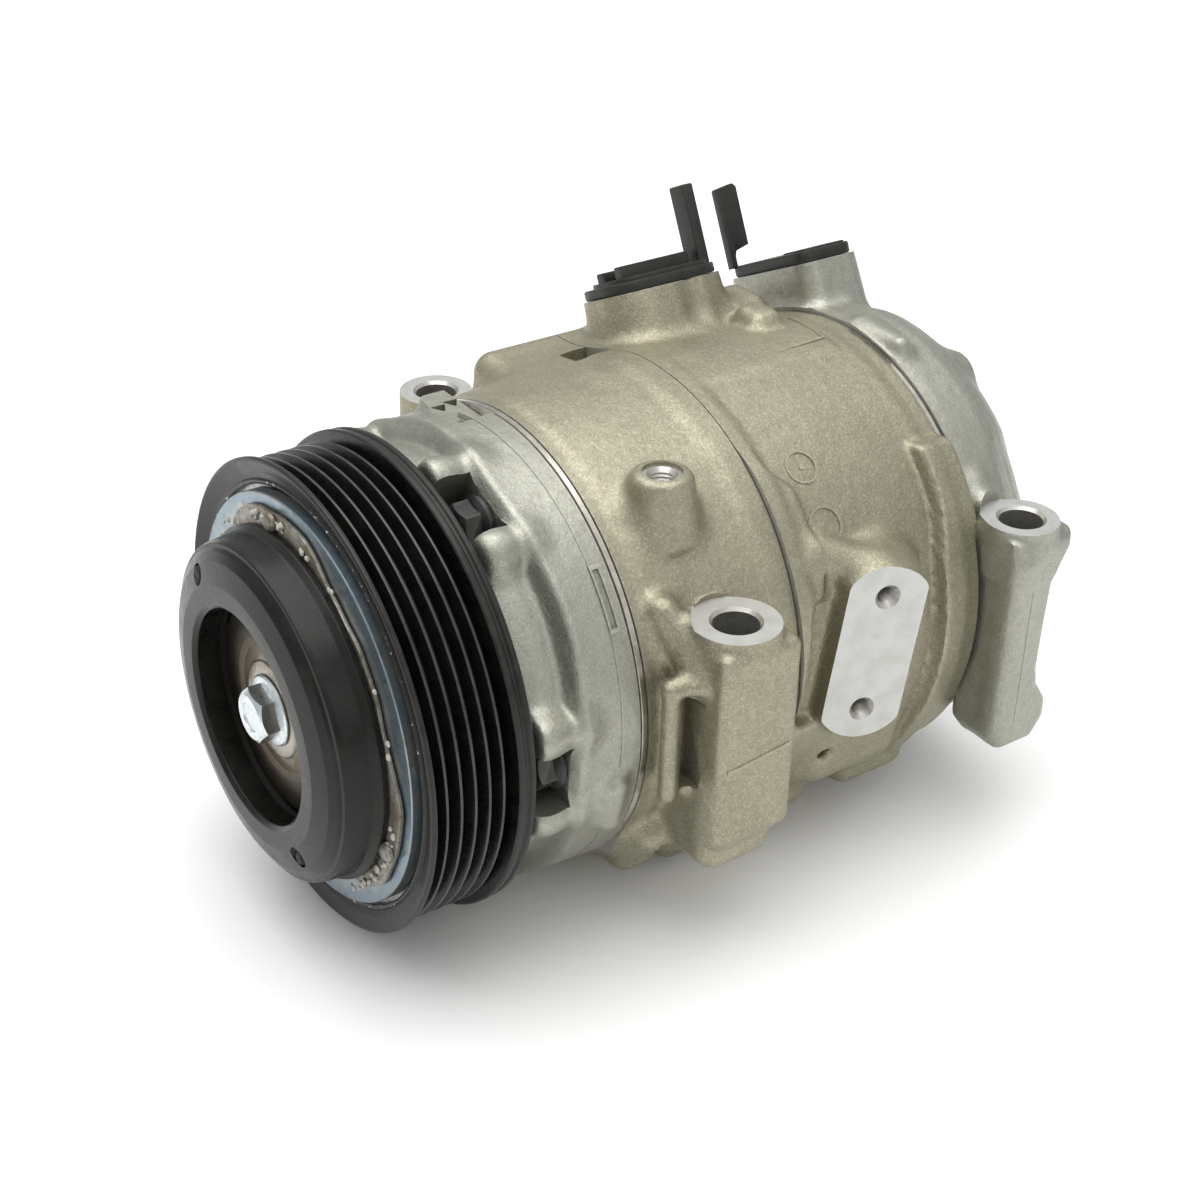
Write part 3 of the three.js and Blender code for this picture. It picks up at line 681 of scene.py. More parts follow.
def rear_cylinder():
    cast = Cast((-60, 93.5, -62), (76, 155, 80))
    heights = [93, 96.5, 100, 102.5, 120, 147.5, 150.5, 156]
    radii = [60, 60, 59.9, 59.2, 58.9, 58.1, 57.5, 57.3]

    def radius_at(y, theta):
        base = np.interp(y, heights, radii).astype(np.float32)
        step_edge = 100.5 + 5.2 * ease(theta, 15, 22) * ease(-theta, -53, -44)
        plateau = 1.5 * ease(-y, -step_edge - 0.9, -step_edge + 0.5)
        plateau = plateau * ease(theta, -20, 10) * ease(-theta, -60, -48)
        flange_edge = 143.6 - 2.6 * ease(-theta, -34, -16)
        flange = 3.8 * ease(y, flange_edge - 0.9, flange_edge + 0.7)
        flange = flange * ease(-theta, -48.5, -44) * ease(theta, -48, -40)
        panel = 0.5 * ease(theta, 77, 80) * ease(-theta, -125, -110) * ease(y, 99, 103)
        return base + plateau + flange + panel * ease(-y, -146, -144)
    cast.add(barrel(radius_at))
    cast.take(brick((-17.5, -19, -5), (-9, 13, 9), 2.5, pad_place()), 3)
    cast.add(pad_boss(pad_place(1.2), 20, 0.2), 2.0)
    cast.add(capsule((50.5, 107, 29), (57.8, 118.5, 24.5), 4.4), 4)
    cast.add(brick((30, 126, -50), (46, 150, -30), 5), 5)
    cast.add(brick((30, 102, -50), (45, 118, -28), 5), 5)
    cast.add(brick((40, 110, -40), (52, 140, -22), 6), 6)
    cast.take(capsule((56, 113.7, -29.5), (49, 113.7, -28.5), 1.4), 2)
    # muffler chamber
    cast.add(brick((-46, 80, 20), (-17, 150, 52.5), 5.5), 5)
    cast.add(brick((-12, 80, 40), (2, 112, 56.6), 5), 6)
    # front port boss in two lobes, and the lump behind it
    cast.add(boss(port_place(**FRONT_PORT, along=-2.5, out=1.0), 12.8, 15, 11, 34, 0.05, 0.4), 4.5)
    cast.add(boss(port_place(**FRONT_PORT, along=10.5, x=-1.5, out=1.0), 11.4, 7, 6, 34, 0.05, 0.4), 4)
    valley = port_place(**FRONT_PORT, along=4.2, x=15.2)
    cast.take(capsule(valley @ Vector((0, 0, 6)), valley @ Vector((0, 0, -7)), 3.6), 3.5)
    cast.add(brick((-15.5, 131.5, 50), (-4.5, 141, 62.4), 3.2), 3)
    cast.add(brick((-33, 134, 44), (-18, 148, 60), 4), 5)
    body = cast.skin("rear_cylinder")
    face = port_place(**FRONT_PORT, out=0)
    tools = [
        slab(60, BLOCK_JOINT[1]), slab(155.4, 190), box((56.5, 152.4, -60), (80, 170, 27)),
        lathe([(0, 152), (57.15, 152), (57.15, 158), (0, 158)], 128),
        box((-30, -30, 0), (30, 30, 20)),
        prism(rectangle(10.8, 23.8, 1), 12, pad_place()),
        rod(8, -14, 2, face @ Matrix.Translation((0, -5, 0)) @ Matrix.Rotation(math.pi / 2, 4, "X")),
    ]
    tools[4].data.transform(face)
    for up in PAD_HOLES:
        mouth = pad_place() @ Matrix.Translation((0, up, 0)) @ Matrix.Rotation(math.pi / 2, 4, "X")
        tools.append(threads(2.6, 8, 1.0, mouth))
    tools += cylinder_bores(90, 152.1)
    tools.append(rod(CHAMBER, 90, 129.5, Matrix(), 96))
    tools.append(rod(9, 90, 160, Matrix()))
    tools.append(rod(13, 128, 149, Matrix()))
    tools += bolt_holes(90, 160)
    cut(body, *tools)
    seams = [
        [on_barrel(58.9, 101.5 + 42.5 * k / 14, 81.2 + 2.2 * k / 14) for k in range(15)],
        [on_barrel(58.6, 144 + 0.12 * k, 83.4 + 1.5 * k) for k in range(11)],
    ]
    join(body, *[strip(line, 0.5, 0.3) for line in seams])
    for degrees, y, size in ((49.6, 111.2, 4.0), (35.2, 111.1, 4.5)):
        point, out = on_barrel(58.95, y, degrees)
        ring_outline = [(size - 0.45, -1.6), (size + 0.45, -1.6), (size + 0.3, 0.35), (size - 0.3, 0.35)]
        join(body, lathe(ring_outline, 40, aim(point, out)))
        pin_outline = [(0, -1.6), (0.9, -1.6), (0.7, 0.3), (0, 0.3)]
        join(body, lathe(pin_outline, 20, aim(point, out)))
    return body


# ---------------------------------------------------------------- rear housing

def rear_housing():
    cast = Cast((-62, 150, -64), (75, 190, 74))
    heights = [150, 156, 159, 168, 171, 175, 179, 182, 184.5, 190]
    radii = [57.7, 57.8, 58.1, 57.9, 57.2, 55.2, 52, 48.5, 44, 30]

    def radius_at(y, theta):
        base = np.interp(y, heights, radii).astype(np.float32)
        lobes = np.cos(np.radians(5 * (theta + 4.5)))
        scallop = 1.4 * ease(y, 166, 173) * ease(-lobes, 0.35, 1.0)
        return base - scallop - 60 * (y < 154)
    cast.add(barrel(radius_at))
    cast.take(brick((-99, 184, -99), (99, 199, 99), 0), 2.5)
    for angle in BOLT_ANGLES:
        x, z = polar(BOLT_CIRCLE, angle)
        cast.add(stud((x, 168, z), (x, 181.5, z), 8.0, 6.8, 1.6), 3)
    # near lug: head, column with its waist and flared foot, web
    cast.add(stud((*REAR_LUG, 14), (*REAR_LUG, LUG_TOP + 1.2), 9.4, 9.3, 0.5), 1.5)
    cast.add(profile([
        (153.6, 25.6), (172.4, 25.6), (172.8, 21), (168.0, 12), (167.4, 0), (167.2, -12), (168.2, -17.5),
        (172.2, -23.5), (172.2, -28.6), (168, -34.5), (157, -34.5), (153.6, -30),
    ], 0, 54, 71.3, 3.6), 1.8)
    cast.add(brick((40, 158.5, -26), (60, 169, 20), 4), 6)
    cast.add(capsule((47, 160, 30), (56, 159, 24.5), 3.4), 4)
    cast.add(brick((64, 153.8, -30), (72.0, 161, 22), 3), 2)
    # ports and valve
    cast.add(boss(port_place(**REAR_PORT, out=1.0), 17.5, 9.7, 5, 32, 0.03, 0.4), 3.5)
    cast.add(stud((VALVE[0], 170, VALVE[1]), (VALVE[0], 187.4, VALVE[1]), 9.6, 8.5, 1.2), 3)
    cast.add(brick((2, 157, 52), (20, 162, 59.2), 2), 4)
    cast.add(stud((0, 178, 0), (0, 186, 0), 15, 14, 1.5), 3)
    for angle in (31.5, 103.5, 175.5, 247.5, 319.5):
        x0, z0 = polar(12, angle)
        x1, z1 = polar(40, angle)
        cast.add(capsule((x0, 183.6, z0), (x1, 182.6, z1), 1.9), 2.5)
    body = cast.skin("rear_housing")
    face = port_place(**REAR_PORT)
    top = box((-30, -30, 0), (30, 30, 20))
    top.data.transform(face)
    tools = [
        rod(58.4, 100, 156, Matrix(), 192), top, *lug_tools(*REAR_LUG, 10),
        rod(6.5, -26, 2, face @ Matrix.Rotation(math.pi / 2, 4, "X")),
        lathe([(20, 150), (43.5, 150), (43.5, 170), (20, 170)], 96),
        rod(16, 150, 168, Matrix()),
        rod(5, 176, 190, axial(*VALVE)),
        rod(9.5, VALVE_FACE, 189, axial(*VALVE)),
    ]
    tools += bolt_holes(150, 168)
    cut(body, *tools)
    line = [((71.95, 159, z), (1, 0, 0)) for z in range(-26, 20, 4)]
    join(body, strip(line, 0.4, 0.25))
    return body


# ---------------------------------------------------------------- materials

class Look:
    """A procedural material whose patterns are laid out in shaft millimetres."""

    def __init__(self, name):
        self.material = bpy.data.materials.new(name)
        self.material.use_nodes = True
        self.tree = self.material.node_tree
        self.tree.nodes.clear()
        self.output = self.tree.nodes.new("ShaderNodeOutputMaterial")
        self.shader = self.tree.nodes.new("ShaderNodeBsdfPrincipled")
        self.tree.links.new(self.shader.outputs[0], self.output.inputs[0])
        coordinate = self.tree.nodes.new("ShaderNodeTexCoord")
        mapping = self.tree.nodes.new("ShaderNodeMapping")
        mapping.inputs["Scale"].default_value = (1 / MM,) * 3
        mapping.inputs["Location"].default_value = -ORIGIN / MM
        self.tree.links.new(coordinate.outputs["Object"], mapping.inputs["Vector"])
        self.mm = mapping.outputs[0]

    def put(self, socket, value):
        if isinstance(value, bpy.types.NodeSocket):
            self.tree.links.new(value, socket)
        else:
            socket.default_value = value

    def node(self, kind, **settings):
        made = self.tree.nodes.new(kind)
        for key, value in settings.items():
            setattr(made, key, value)
        return made

    def stretch(self, scale, shift=(0, 0, 0)):
        made = self.node("ShaderNodeMapping")
        self.tree.links.new(self.mm, made.inputs["Vector"])
        made.inputs["Scale"].default_value = scale
        made.inputs["Location"].default_value = shift
        return made.outputs[0]

    def noise(self, scale, detail=3.0, roughness=0.55, where=None, distortion=0.0):
        made = self.node("ShaderNodeTexNoise")
        self.tree.links.new(where or self.mm, made.inputs["Vector"])
        made.inputs["Scale"].default_value = scale
        made.inputs["Detail"].default_value = detail
        made.inputs["Roughness"].default_value = roughness
        made.inputs["Distortion"].default_value = distortion
        return made.outputs["Fac"]

    def cells(self, scale, output="Color", where=None):
        made = self.node("ShaderNodeTexVoronoi")
        self.tree.links.new(where or self.mm, made.inputs["Vector"])
        made.inputs["Scale"].default_value = scale
        return made.outputs[output]

    def split(self, vector):
        made = self.node("ShaderNodeSeparateXYZ")
        self.tree.links.new(vector, made.inputs[0])
        return made.outputs

    def math(self, operation, a, b=0.0, clamp=False):
        made = self.node("ShaderNodeMath", operation=operation, use_clamp=clamp)
        self.put(made.inputs[0], a)
        self.put(made.inputs[1], b)
        return made.outputs[0]

    def span(self, value, low, high, to_low=0.0, to_high=1.0):
        made = self.node("ShaderNodeMapRange", clamp=True)
        self.put(made.inputs["Value"], value)
        for key, number in (("From Min", low), ("From Max", high), ("To Min", to_low), ("To Max", to_high)):
            made.inputs[key].default_value = number
        return made.outputs[0]

    def radius(self):
        x, _, z = self.split(self.mm)
        return self.math("SQRT", self.math("ADD", self.math("MULTIPLY", x, x), self.math("MULTIPLY", z, z)))

    def height(self):
        return self.split(self.mm)[1]

    def mix(self, factor, a, b, blend="MIX"):
        made = self.node("ShaderNodeMix", data_type="RGBA", blend_type=blend)
        self.put(made.inputs[0], factor)
        for index, value in ((6, a), (7, b)):
            self.put(made.inputs[index], value if isinstance(value, bpy.types.NodeSocket) else (*value, 1))
        return made.outputs[2]

    def bump(self, height, depth, under=None):
        made = self.node("ShaderNodeBump")
        made.inputs["Strength"].default_value = 1.0
        made.inputs["Distance"].default_value = depth * MM
        self.tree.links.new(height, made.inputs["Height"])
        if under is not None:
            self.tree.links.new(under, made.inputs["Normal"])
        return made.outputs[0]

    def pointed(self):
        return self.node("ShaderNodeNewGeometry").outputs["Pointiness"]

    def done(self, **sockets):
        names = {"color": "Base Color", "metallic": "Metallic", "roughness": "Roughness",
                 "normal": "Normal", "specular": "Specular IOR Level"}
        for key, value in sockets.items():
            if key == "color" and not isinstance(value, bpy.types.NodeSocket):
                value = (*value, 1)
            self.put(self.shader.inputs[names[key]], value)
        return self.material


def cast_look(name, tone, dark, bright, roughness, grain, stain):
    """Die-cast aluminium: a crystalline skin with sparkling facets and stains, painted highlights along edges
    and painted shade in creases.
    """
    look = Look(name)
    facets = look.split(look.cells(3.0))
    coarse = look.noise(0.055, 4, 0.6, distortion=0.6)
    mottled = look.noise(0.5, 5, 0.65)
    fine = look.noise(4.0, 3, 0.7)
    color = look.mix(look.span(coarse, 0.35, 0.68), tone, stain)
    color = look.mix(look.span(mottled, 0.3, 0.75, 0.0, 0.45), color, dark)
    color = look.mix(look.span(facets[0], 0.55, 1.0, 0.0, grain), color, bright)
    color = look.mix(look.span(fine, 0.62, 0.8, 0.0, 0.3), color, bright)
    # painted highlight: convex edges, found by pointiness, lightened towards the bright colour
    edge = look.span(look.pointed(), 0.52, 0.62, 0.0, 0.28)
    # painted shade: creases, found by pointiness, darkened towards a deep dark tone
    crease_shade = look.span(look.pointed(), 0.47, 0.38, 0.0, 0.6)
    color = look.mix(edge, color, bright)
    color = look.mix(crease_shade, color, [c * 0.45 for c in dark])
    sheen = look.math("ADD", look.math("MULTIPLY", facets[1], 0.6), look.math("MULTIPLY", mottled, 0.7))
    rough = look.span(sheen, 0.2, 1.1, roughness - 0.1, roughness + 0.12)
    swell = look.bump(look.noise(0.28, 3, 0.5), 0.22)
    grit = look.bump(look.noise(1.5, 4, 0.7), 0.09, swell)
    normal = look.bump(facets[2], 0.035, grit)
    return look.done(color=color, metallic=0.92, roughness=rough, normal=normal)


def machined_look(name, tone=(0.78, 0.78, 0.76), dark=(0.55, 0.54, 0.51), roughness=0.34):
    """A milled face: fine cutter marks, faint blotches."""
    look = Look(name)
    blotch = look.noise(0.22, 3, 0.5)
    marks = look.noise(1.0, 2, 0.5, look.stretch((0.5, 5.0, 5.0)))
    color = look.mix(look.span(blotch, 0.42, 0.66, 0.0, 0.7), tone, dark)
    rough = look.span(marks, 0.3, 0.7, roughness - 0.06, roughness + 0.1)
    return look.done(color=color, metallic=0.9, roughness=rough, normal=look.bump(marks, 0.012))


def ringed_look(name, tone, dark, roughness, depth=0.01, metallic=1.0):
    """Turned metal: fine rings about the shaft."""
    look = Look(name)
    radial = look.math("ADD", look.radius(), look.height())
    wide = look.noise(0.35, 3, 0.6)
    lay = look.node("ShaderNodeCombineXYZ")
    look.put(lay.inputs[0], radial)
    rings = look.noise(6.0, 3, 0.6, lay.outputs[0])
    color = look.mix(look.span(wide, 0.35, 0.7), tone, dark)
    rough = look.span(rings, 0.3, 0.7, roughness - 0.06, roughness + 0.08)
    return look.done(color=color, metallic=metallic, roughness=rough, normal=look.bump(rings, depth))


def painted_look(name, tone, dusty, roughness, chips=0.0, specular=0.4, ring_chips=None):
    """Black coating with dust, scuffs and, near given radii, chips down to the metal."""
    look = Look(name)
    dust = look.noise(0.16, 5, 0.65, distortion=0.8)
    scuff = look.noise(1.4, 4, 0.7)
    color = look.mix(look.span(dust, 0.42, 0.75, 0.0, 0.8), tone, dusty)
    color = look.mix(look.span(scuff, 0.66, 0.8, 0.0, 0.35), color, [c * 2.2 for c in dusty])
    wear = look.math("ADD", look.math("MULTIPLY", dust, 0.5), look.math("MULTIPLY", scuff, 0.5))
    rough = look.span(wear, 0.3, 0.7, roughness - 0.06, roughness + 0.16)
    metallic = 0.0
    if ring_chips is not None:
        low, high = ring_chips
        near = look.math("MULTIPLY", look.span(look.radius(), low, low + 0.2),
                         look.span(look.radius(), high, high - 0.2))
        flakes = look.span(look.noise(0.55, 5, 0.75), 0.6, 0.64)
        mask = look.math("MULTIPLY", near, flakes)
        color = look.mix(mask, color, (0.6, 0.6, 0.56))
        metallic = mask
    edge = look.span(look.pointed(), 0.53, 0.62, 0.0, chips)
    color = look.mix(edge, color, [min(1, c * 5) for c in dusty])
    normal = look.bump(look.noise(1.1, 4, 0.6), 0.02)
    return look.done(color=color, metallic=metallic, roughness=rough, normal=normal, specular=specular)


def plastic_look(name, tone, light, roughness):
    """Moulded plastic: a fine spark-eroded grain and rubbed edges."""
    look = Look(name)
    grain = look.noise(3.2, 3, 0.7)
    patch = look.noise(0.2, 3, 0.6)
    color = look.mix(look.span(patch, 0.35, 0.7), tone, light)
    color = look.mix(look.span(grain, 0.6, 0.8, 0.0, 0.4), color, [c * 1.8 for c in light])
    edge = look.span(look.pointed(), 0.53, 0.64, 0.0, 0.35)
    color = look.mix(edge, color, [c * 2.5 for c in light])
    rough = look.span(grain, 0.3, 0.7, roughness - 0.08, roughness + 0.1)
    return look.done(color=color, roughness=rough, normal=look.bump(grain, 0.03), specular=0.35)


def armature_look():
    """Heat-blued steel: rings of blue, grey and straw with smears of grease."""
    look = Look("blued steel")
    radius = look.radius()
    wave = look.noise(0.09, 3, 0.55, distortion=1.0)
    shift = look.math("ADD", radius, look.math("MULTIPLY", wave, 9.0))
    color = look.mix(look.span(shift, 49.5, 51.5), (0.34, 0.38, 0.385), (0.23, 0.30, 0.345))
    color = look.mix(look.span(shift, *FRONT_PLATE), color, (0.30, 0.31, 0.31))
    smear = look.noise(0.35, 4, 0.6)
    color = look.mix(look.span(smear, 0.52, 0.72, 0.0, 0.6), color, (0.13, 0.14, 0.14))
    rings = look.noise(3.0, 2, 0.5, look.stretch((0.2, 0.2, 0.2)))
    rough = look.span(smear, 0.3, 0.7, 0.26, 0.42)
    return look.done(color=color, metallic=0.85, roughness=rough, normal=look.bump(rings, 0.02))


def stained_look(name, steel, rust, dirt, amount, metallic=0.75, roughness=0.42):
    """Bare steel with rust, burnt oil and grime."""
    look = Look(name)
    wide = look.noise(0.13, 4, 0.65, distortion=0.7)
    small = look.noise(0.9, 5, 0.7)
    color = look.mix(look.span(wide, 0.4, 0.62, 0.0, amount), steel, rust)
    color = look.mix(look.span(small, 0.5, 0.72, 0.0, 0.85), color, dirt)
    rough = look.span(small, 0.3, 0.7, roughness - 0.1, roughness + 0.22)
    return look.done(color=color, metallic=metallic, roughness=rough, normal=look.bump(small, 0.05))


def recess_look():
    """The hub's front plate: a bright clamped washer in a burnt brown plate that darkens outwards."""
    look = Look("hub plate")
    radius = look.radius()
    cloud = look.noise(0.16, 4, 0.6, distortion=0.6)
    reach = look.math("ADD", radius, look.math("MULTIPLY", look.math("SUBTRACT", cloud, 0.5), 9.0))
    color = look.mix(look.span(reach, 9.8, 13.0), (0.46, 0.43, 0.37), (0.13, 0.105, 0.07))
    color = look.mix(look.span(reach, 14.5, 21.0), color, (0.03, 0.024, 0.016))
    speck = look.noise(1.4, 4, 0.7)
    color = look.mix(look.span(speck, 0.55, 0.75, 0.0, 0.5), color, (0.06, 0.05, 0.034))
    rings = look.node("ShaderNodeCombineXYZ")
    look.put(rings.inputs[0], radius)
    lay = look.noise(3.0, 3, 0.6, rings.outputs[0])
    rough = look.span(speck, 0.3, 0.7, 0.3, 0.5)
    return look.done(color=color, metallic=0.8, roughness=rough, normal=look.bump(lay, 0.03))


def zinc_look(name, tone=(0.72, 0.77, 0.79)):
    look = Look(name)
    haze = look.noise(0.7, 4, 0.6)
    color = look.mix(look.span(haze, 0.4, 0.7, 0.0, 0.6), tone, (0.42, 0.44, 0.42))
    rough = look.span(haze, 0.3, 0.7, 0.26, 0.42)
    return look.done(color=color, metallic=1.0, roughness=rough, normal=look.bump(haze, 0.015))


def crumb_look():
    """Dried sealant crumbs."""
    look = Look("sealant")
    small = look.noise(1.6, 4, 0.7)
    color = look.mix(small, (0.30, 0.29, 0.24), (0.62, 0.61, 0.54))
    rough = look.span(small, 0.3, 0.7, 0.25, 0.55)
    return look.done(color=color, roughness=rough, normal=look.bump(small, 0.12))


CAST_SMOOTH = cast_look("cast smooth", (0.378, 0.378, 0.32), (0.25, 0.252, 0.218), (0.70, 0.70, 0.64),
                        0.43, 0.20, (0.35, 0.35, 0.30))
CAST_BLOCK = cast_look("cast block", (0.356, 0.337, 0.245), (0.232, 0.218, 0.156), (0.69, 0.655, 0.535),
                       0.48, 0.30, (0.305, 0.285, 0.206))
MACHINED = machined_look("machined face", (0.55, 0.55, 0.53), (0.47, 0.465, 0.44), 0.46)
BORE = machined_look("bored wall", (0.55, 0.54, 0.51), (0.38, 0.36, 0.32), 0.3)
BAND = ringed_look("polished band", (0.60, 0.575, 0.52), (0.42, 0.395, 0.34), 0.24)
STEEL = ringed_look("turned steel", (0.56, 0.56, 0.55), (0.40, 0.40, 0.39), 0.28)
ZINC = zinc_look("zinc plate")
BLACK_STEEL = painted_look("black steel", (0.012, 0.012, 0.012), (0.035, 0.033, 0.028), 0.32, 0.5, 0.5)
HUB_PAINT = painted_look("hub paint", (0.005, 0.0047, 0.004), (0.014, 0.0128, 0.0098), 0.25, 0.25, 0.27)
PULLEY_PAINT = painted_look("pulley paint", (0.003, 0.003, 0.003), (0.008, 0.0075, 0.0062), 0.24, 0.22, 0.27)
# rib crests: a lighter paint with lighter edges, partly worn paint and partly a painted highlight along the
# crest lines
RIB_PAINT = painted_look("rib crests", (0.012, 0.0115, 0.01), (0.05, 0.046, 0.038), 0.22, 0.3, 0.6)
FLANGE_PAINT = painted_look("flange paint", (0.009, 0.0086, 0.0072), (0.026, 0.024, 0.019), 0.3, 0.2, 0.36,
                            (50.0, 51.6))
ROTOR_FACE = ringed_look("rotor face", (0.45, 0.45, 0.44), (0.25, 0.24, 0.22), 0.3)
BLUED = armature_look()
SPRING = stained_look("spring plate steel", (0.33, 0.32, 0.285), (0.16, 0.125, 0.085),
                      (0.06, 0.055, 0.045), 0.8)
HUB_PLATE = recess_look()
RUBBER = plastic_look("rubber", (0.012, 0.012, 0.011), (0.022, 0.021, 0.018), 0.65)
BLACK_PLASTIC = plastic_look("black plastic", (0.013, 0.013, 0.011), (0.022, 0.022, 0.018), 0.4)
COIL_PLASTIC = plastic_look("coil plastic", (0.03, 0.03, 0.03), (0.045, 0.045, 0.045), 0.55)
BRASS = ringed_look("brass", (0.5, 0.36, 0.14), (0.36, 0.25, 0.1), 0.3)
SEALANT = crumb_look()


# ---------------------------------------------------------------- clutch and pulley

def pulley():
    pitch, crest, root = 3.56, 55.9, 52.7
    outline = [
        (31.3, 23.4), (31.3, 3.8), (29, 3.8), (29, 2.3, 0.2), (50.3, 2.3), (50.4, 0.6, 0.3),
        (51.3, 0.2, 0.4), (51.8, 0.9, 0.3), (53.2, 0.5, 0.3), (56.2, -0.9, 0.5),
        (57.0, -0.6, 0.5), (56.9, 0.5, 0.4),
    ]
    for groove in range(6):
        middle = pitch * (groove + 0.5)
        outline += [(root, middle - 0.25, 0.3), (root, middle + 0.25, 0.3)]
        if groove < 5:
            top = pitch * (groove + 1)
            outline += [(crest, top - 0.28, 0.25), (crest, top + 0.28, 0.25)]
    outline += [
        (57.6, 20.5, 0.4), (58.0, 20.9, 0.3), (58.0, 22.0, 0.3), (57.2, 22.5, 0.3), (57.2, 23.2, 0.3),
        (57.8, 23.7, 0.3), (57.8, 24.6, 0.4), (57.0, 25.2, 0.3), (49.3, 25.2), (49.3, 7.3),
        (34.2, 7.3), (34.2, 23.4),
    ]
    return lathe(outline, 256, name="pulley", steps=3)


def clutch_hub():
    body = lathe([
        (25.7, -14.9, 0.5), (26.9, -15.8, 0.7), (31.5, -15.8, 1.5), (36.6, -14.5, 1.5), (38.6, -13.3, 1.2),
        (39.3, -12.6, 0.5), (40.2, -12.4, 0.5), (40.6, -11.2, 0.8), (41.2, -6.0, 1.5), (42.4, -4.4, 0.6),
        (42.4, -3.1, 0.3), (39.8, -3.1, 0.3),
        (38.4, -6.0, 0.5), (38, -11.6, 1), (31.4, -14.2, 1), (27.4, -14.2, 0.5),
        (27.4, -9.4, 0.2), (25.7, -9.4, 0.2),
    ], 192, name="hub", steps=5)
    tools = []
    for radius, degrees in PIN_PLACES:
        x, z = polar(radius, degrees)
        tools.append(lathe([(0, -17), (3.4, -17), (2.5, -14.9), (2.1, -13.9), (0, -13.9)], 32, axial(x, z)))
    return cut(body, *tools)


def hub_pins():
    pins = []
    for radius, degrees in PIN_PLACES:
        x, z = polar(radius, degrees)
        outline = [(0, -15.3), (1.3, -15.2, 0.3), (1.7, -14.6, 0.2), (1.7, -11.4), (0, -11.4)]
        pins.append(lathe(outline, 32, axial(x, z)))
    return pins


def hex_head(circum, start, end, flange, place, dish=0.0):
    """A hexagon with turned chamfers on a round flange; the head points to local -Y."""
    corners = [polar(circum, 60 * k + 12) for k in range(6)]
    lay = place @ Matrix.Translation((0, start, 0)) @ Matrix.Rotation(-math.pi / 2, 4, "X")
    head = prism(corners, end - start, lay)
    flat = circum * math.cos(math.pi / 6)
    trim = lathe([(0, start - 0.01 + dish), (flat * 0.9, start, 0.1), (circum + 0.3, start + circum * 0.2),
                  (circum + 0.3, end + 0.1), (0, end + 0.1)], 64, place)
    keep(head, trim)
    return join(head, flange)


def centre_bolt():
    flange = lathe([(0, -10.4), (6.5, -10.4, 0.3), (8.2, -10.0, 0.3), (8.6, -9.6, 0.2), (8.6, -9.3),
                    (0, -9.3)], 64)
    head = hex_head(6.93, -14.6, -10.1, flange, Matrix())
    dimple = lathe([(0, -15), (3.9, -15), (3.4, -14.25), (0, -14.2)], 48)
    cut(head, dimple)
    shank = rod(3.7, -9.5, 8, Matrix(), 32)
    return join(head, shank)


def through_bolt(index):
    x, z = polar(BOLT_CIRCLE, BOLT_ANGLES[index])
    place = axial(x, z)
    seat = 36.0
    flange = lathe([(0, seat - 2.4), (5.3, seat - 2.4, 0.2), (6.6, seat - 1.2, 0.4), (6.6, seat - 0.4, 0.2),
                    (6.3, seat), (0, seat)], 48, place)
    head = hex_head(5.8, seat - 7.0, seat - 2.2, flange, place)
    shank = rod(3, seat - 0.6, 166, place, 24)
    return join(head, shank)


def shaft_hub():
    return lathe([
        (6.4, -8.6), (6.4, -9.0), (11.4, -9.0, 0.3), (11.9, -8.5, 0.3), (12.6, -8.3, 0.2), (15.5, -8.0, 0.6),
        (17.5, -8.3, 0.6),
        (24.6, -8.2, 0.4), (25.3, -7.7, 0.3), (25.3, -6), (12.2, -5.6), (11.4, 0.9), (6.4, 0.9),
    ], 128, name="plate")


def spring_plate():
    """A thin ring with a lobe for each rivet and a slightly uneven rim."""
    outline = []
    for k in range(240):
        degrees = k * 1.5
        lobe = 0.0
        for rivet_angle in RIVET_ANGLES:
            away = (degrees - rivet_angle + 180) % 360 - 180
            if abs(away) < 34:
                lobe = max(lobe, math.cos(math.radians(away) * 2.6))
        unevenness = (0.35 * math.cos(math.radians(9 * degrees + 20))
                      + 0.22 * math.cos(math.radians(23 * degrees + 50)))
        edge = 42.7 + 3.9 * min(1.0, lobe * 1.35) + unevenness * (1 - 0.5 * lobe)
        outline.append(polar(edge, degrees))
    place = Matrix.Translation((0, -1.8, 0)) @ Matrix.Rotation(math.pi / 2, 4, "X")
    plate = prism(outline, 0.9, place, "spring")
    holes = [rod(27, -5, 1, Matrix(), 96)]
    holes += [rod(1.9, -4, 1, axial(*polar(RIVET_CIRCLE, a)), 24) for a in RIVET_ANGLES]
    cut(plate, *holes)
    return bevel(plate, 0.16, 2, 50)


def armature():
    outline = [(23, -1.4, 0.2), (49.05, -1.4, 0.12), (49.3, -1.15, 0.1), (49.3, 1.8, 0.3), (23, 1.8, 0.2)]
    plate = lathe(outline, 256, name="armature")
    holes = [rod(1.9, -4, 4, axial(*polar(RIVET_CIRCLE, a)), 24) for a in RIVET_ANGLES]
    return cut(plate, *holes)


def rivet(degrees):
    outline = [(0, -4.5), (1.4, -4.4, 0.4), (2.3, -3.7, 0.5), (2.4, -3.0), (1.6, -3.0), (1.6, 1.6), (0, 1.6)]
    return lathe(outline, 32, axial(*polar(RIVET_CIRCLE, degrees)), "rivet")


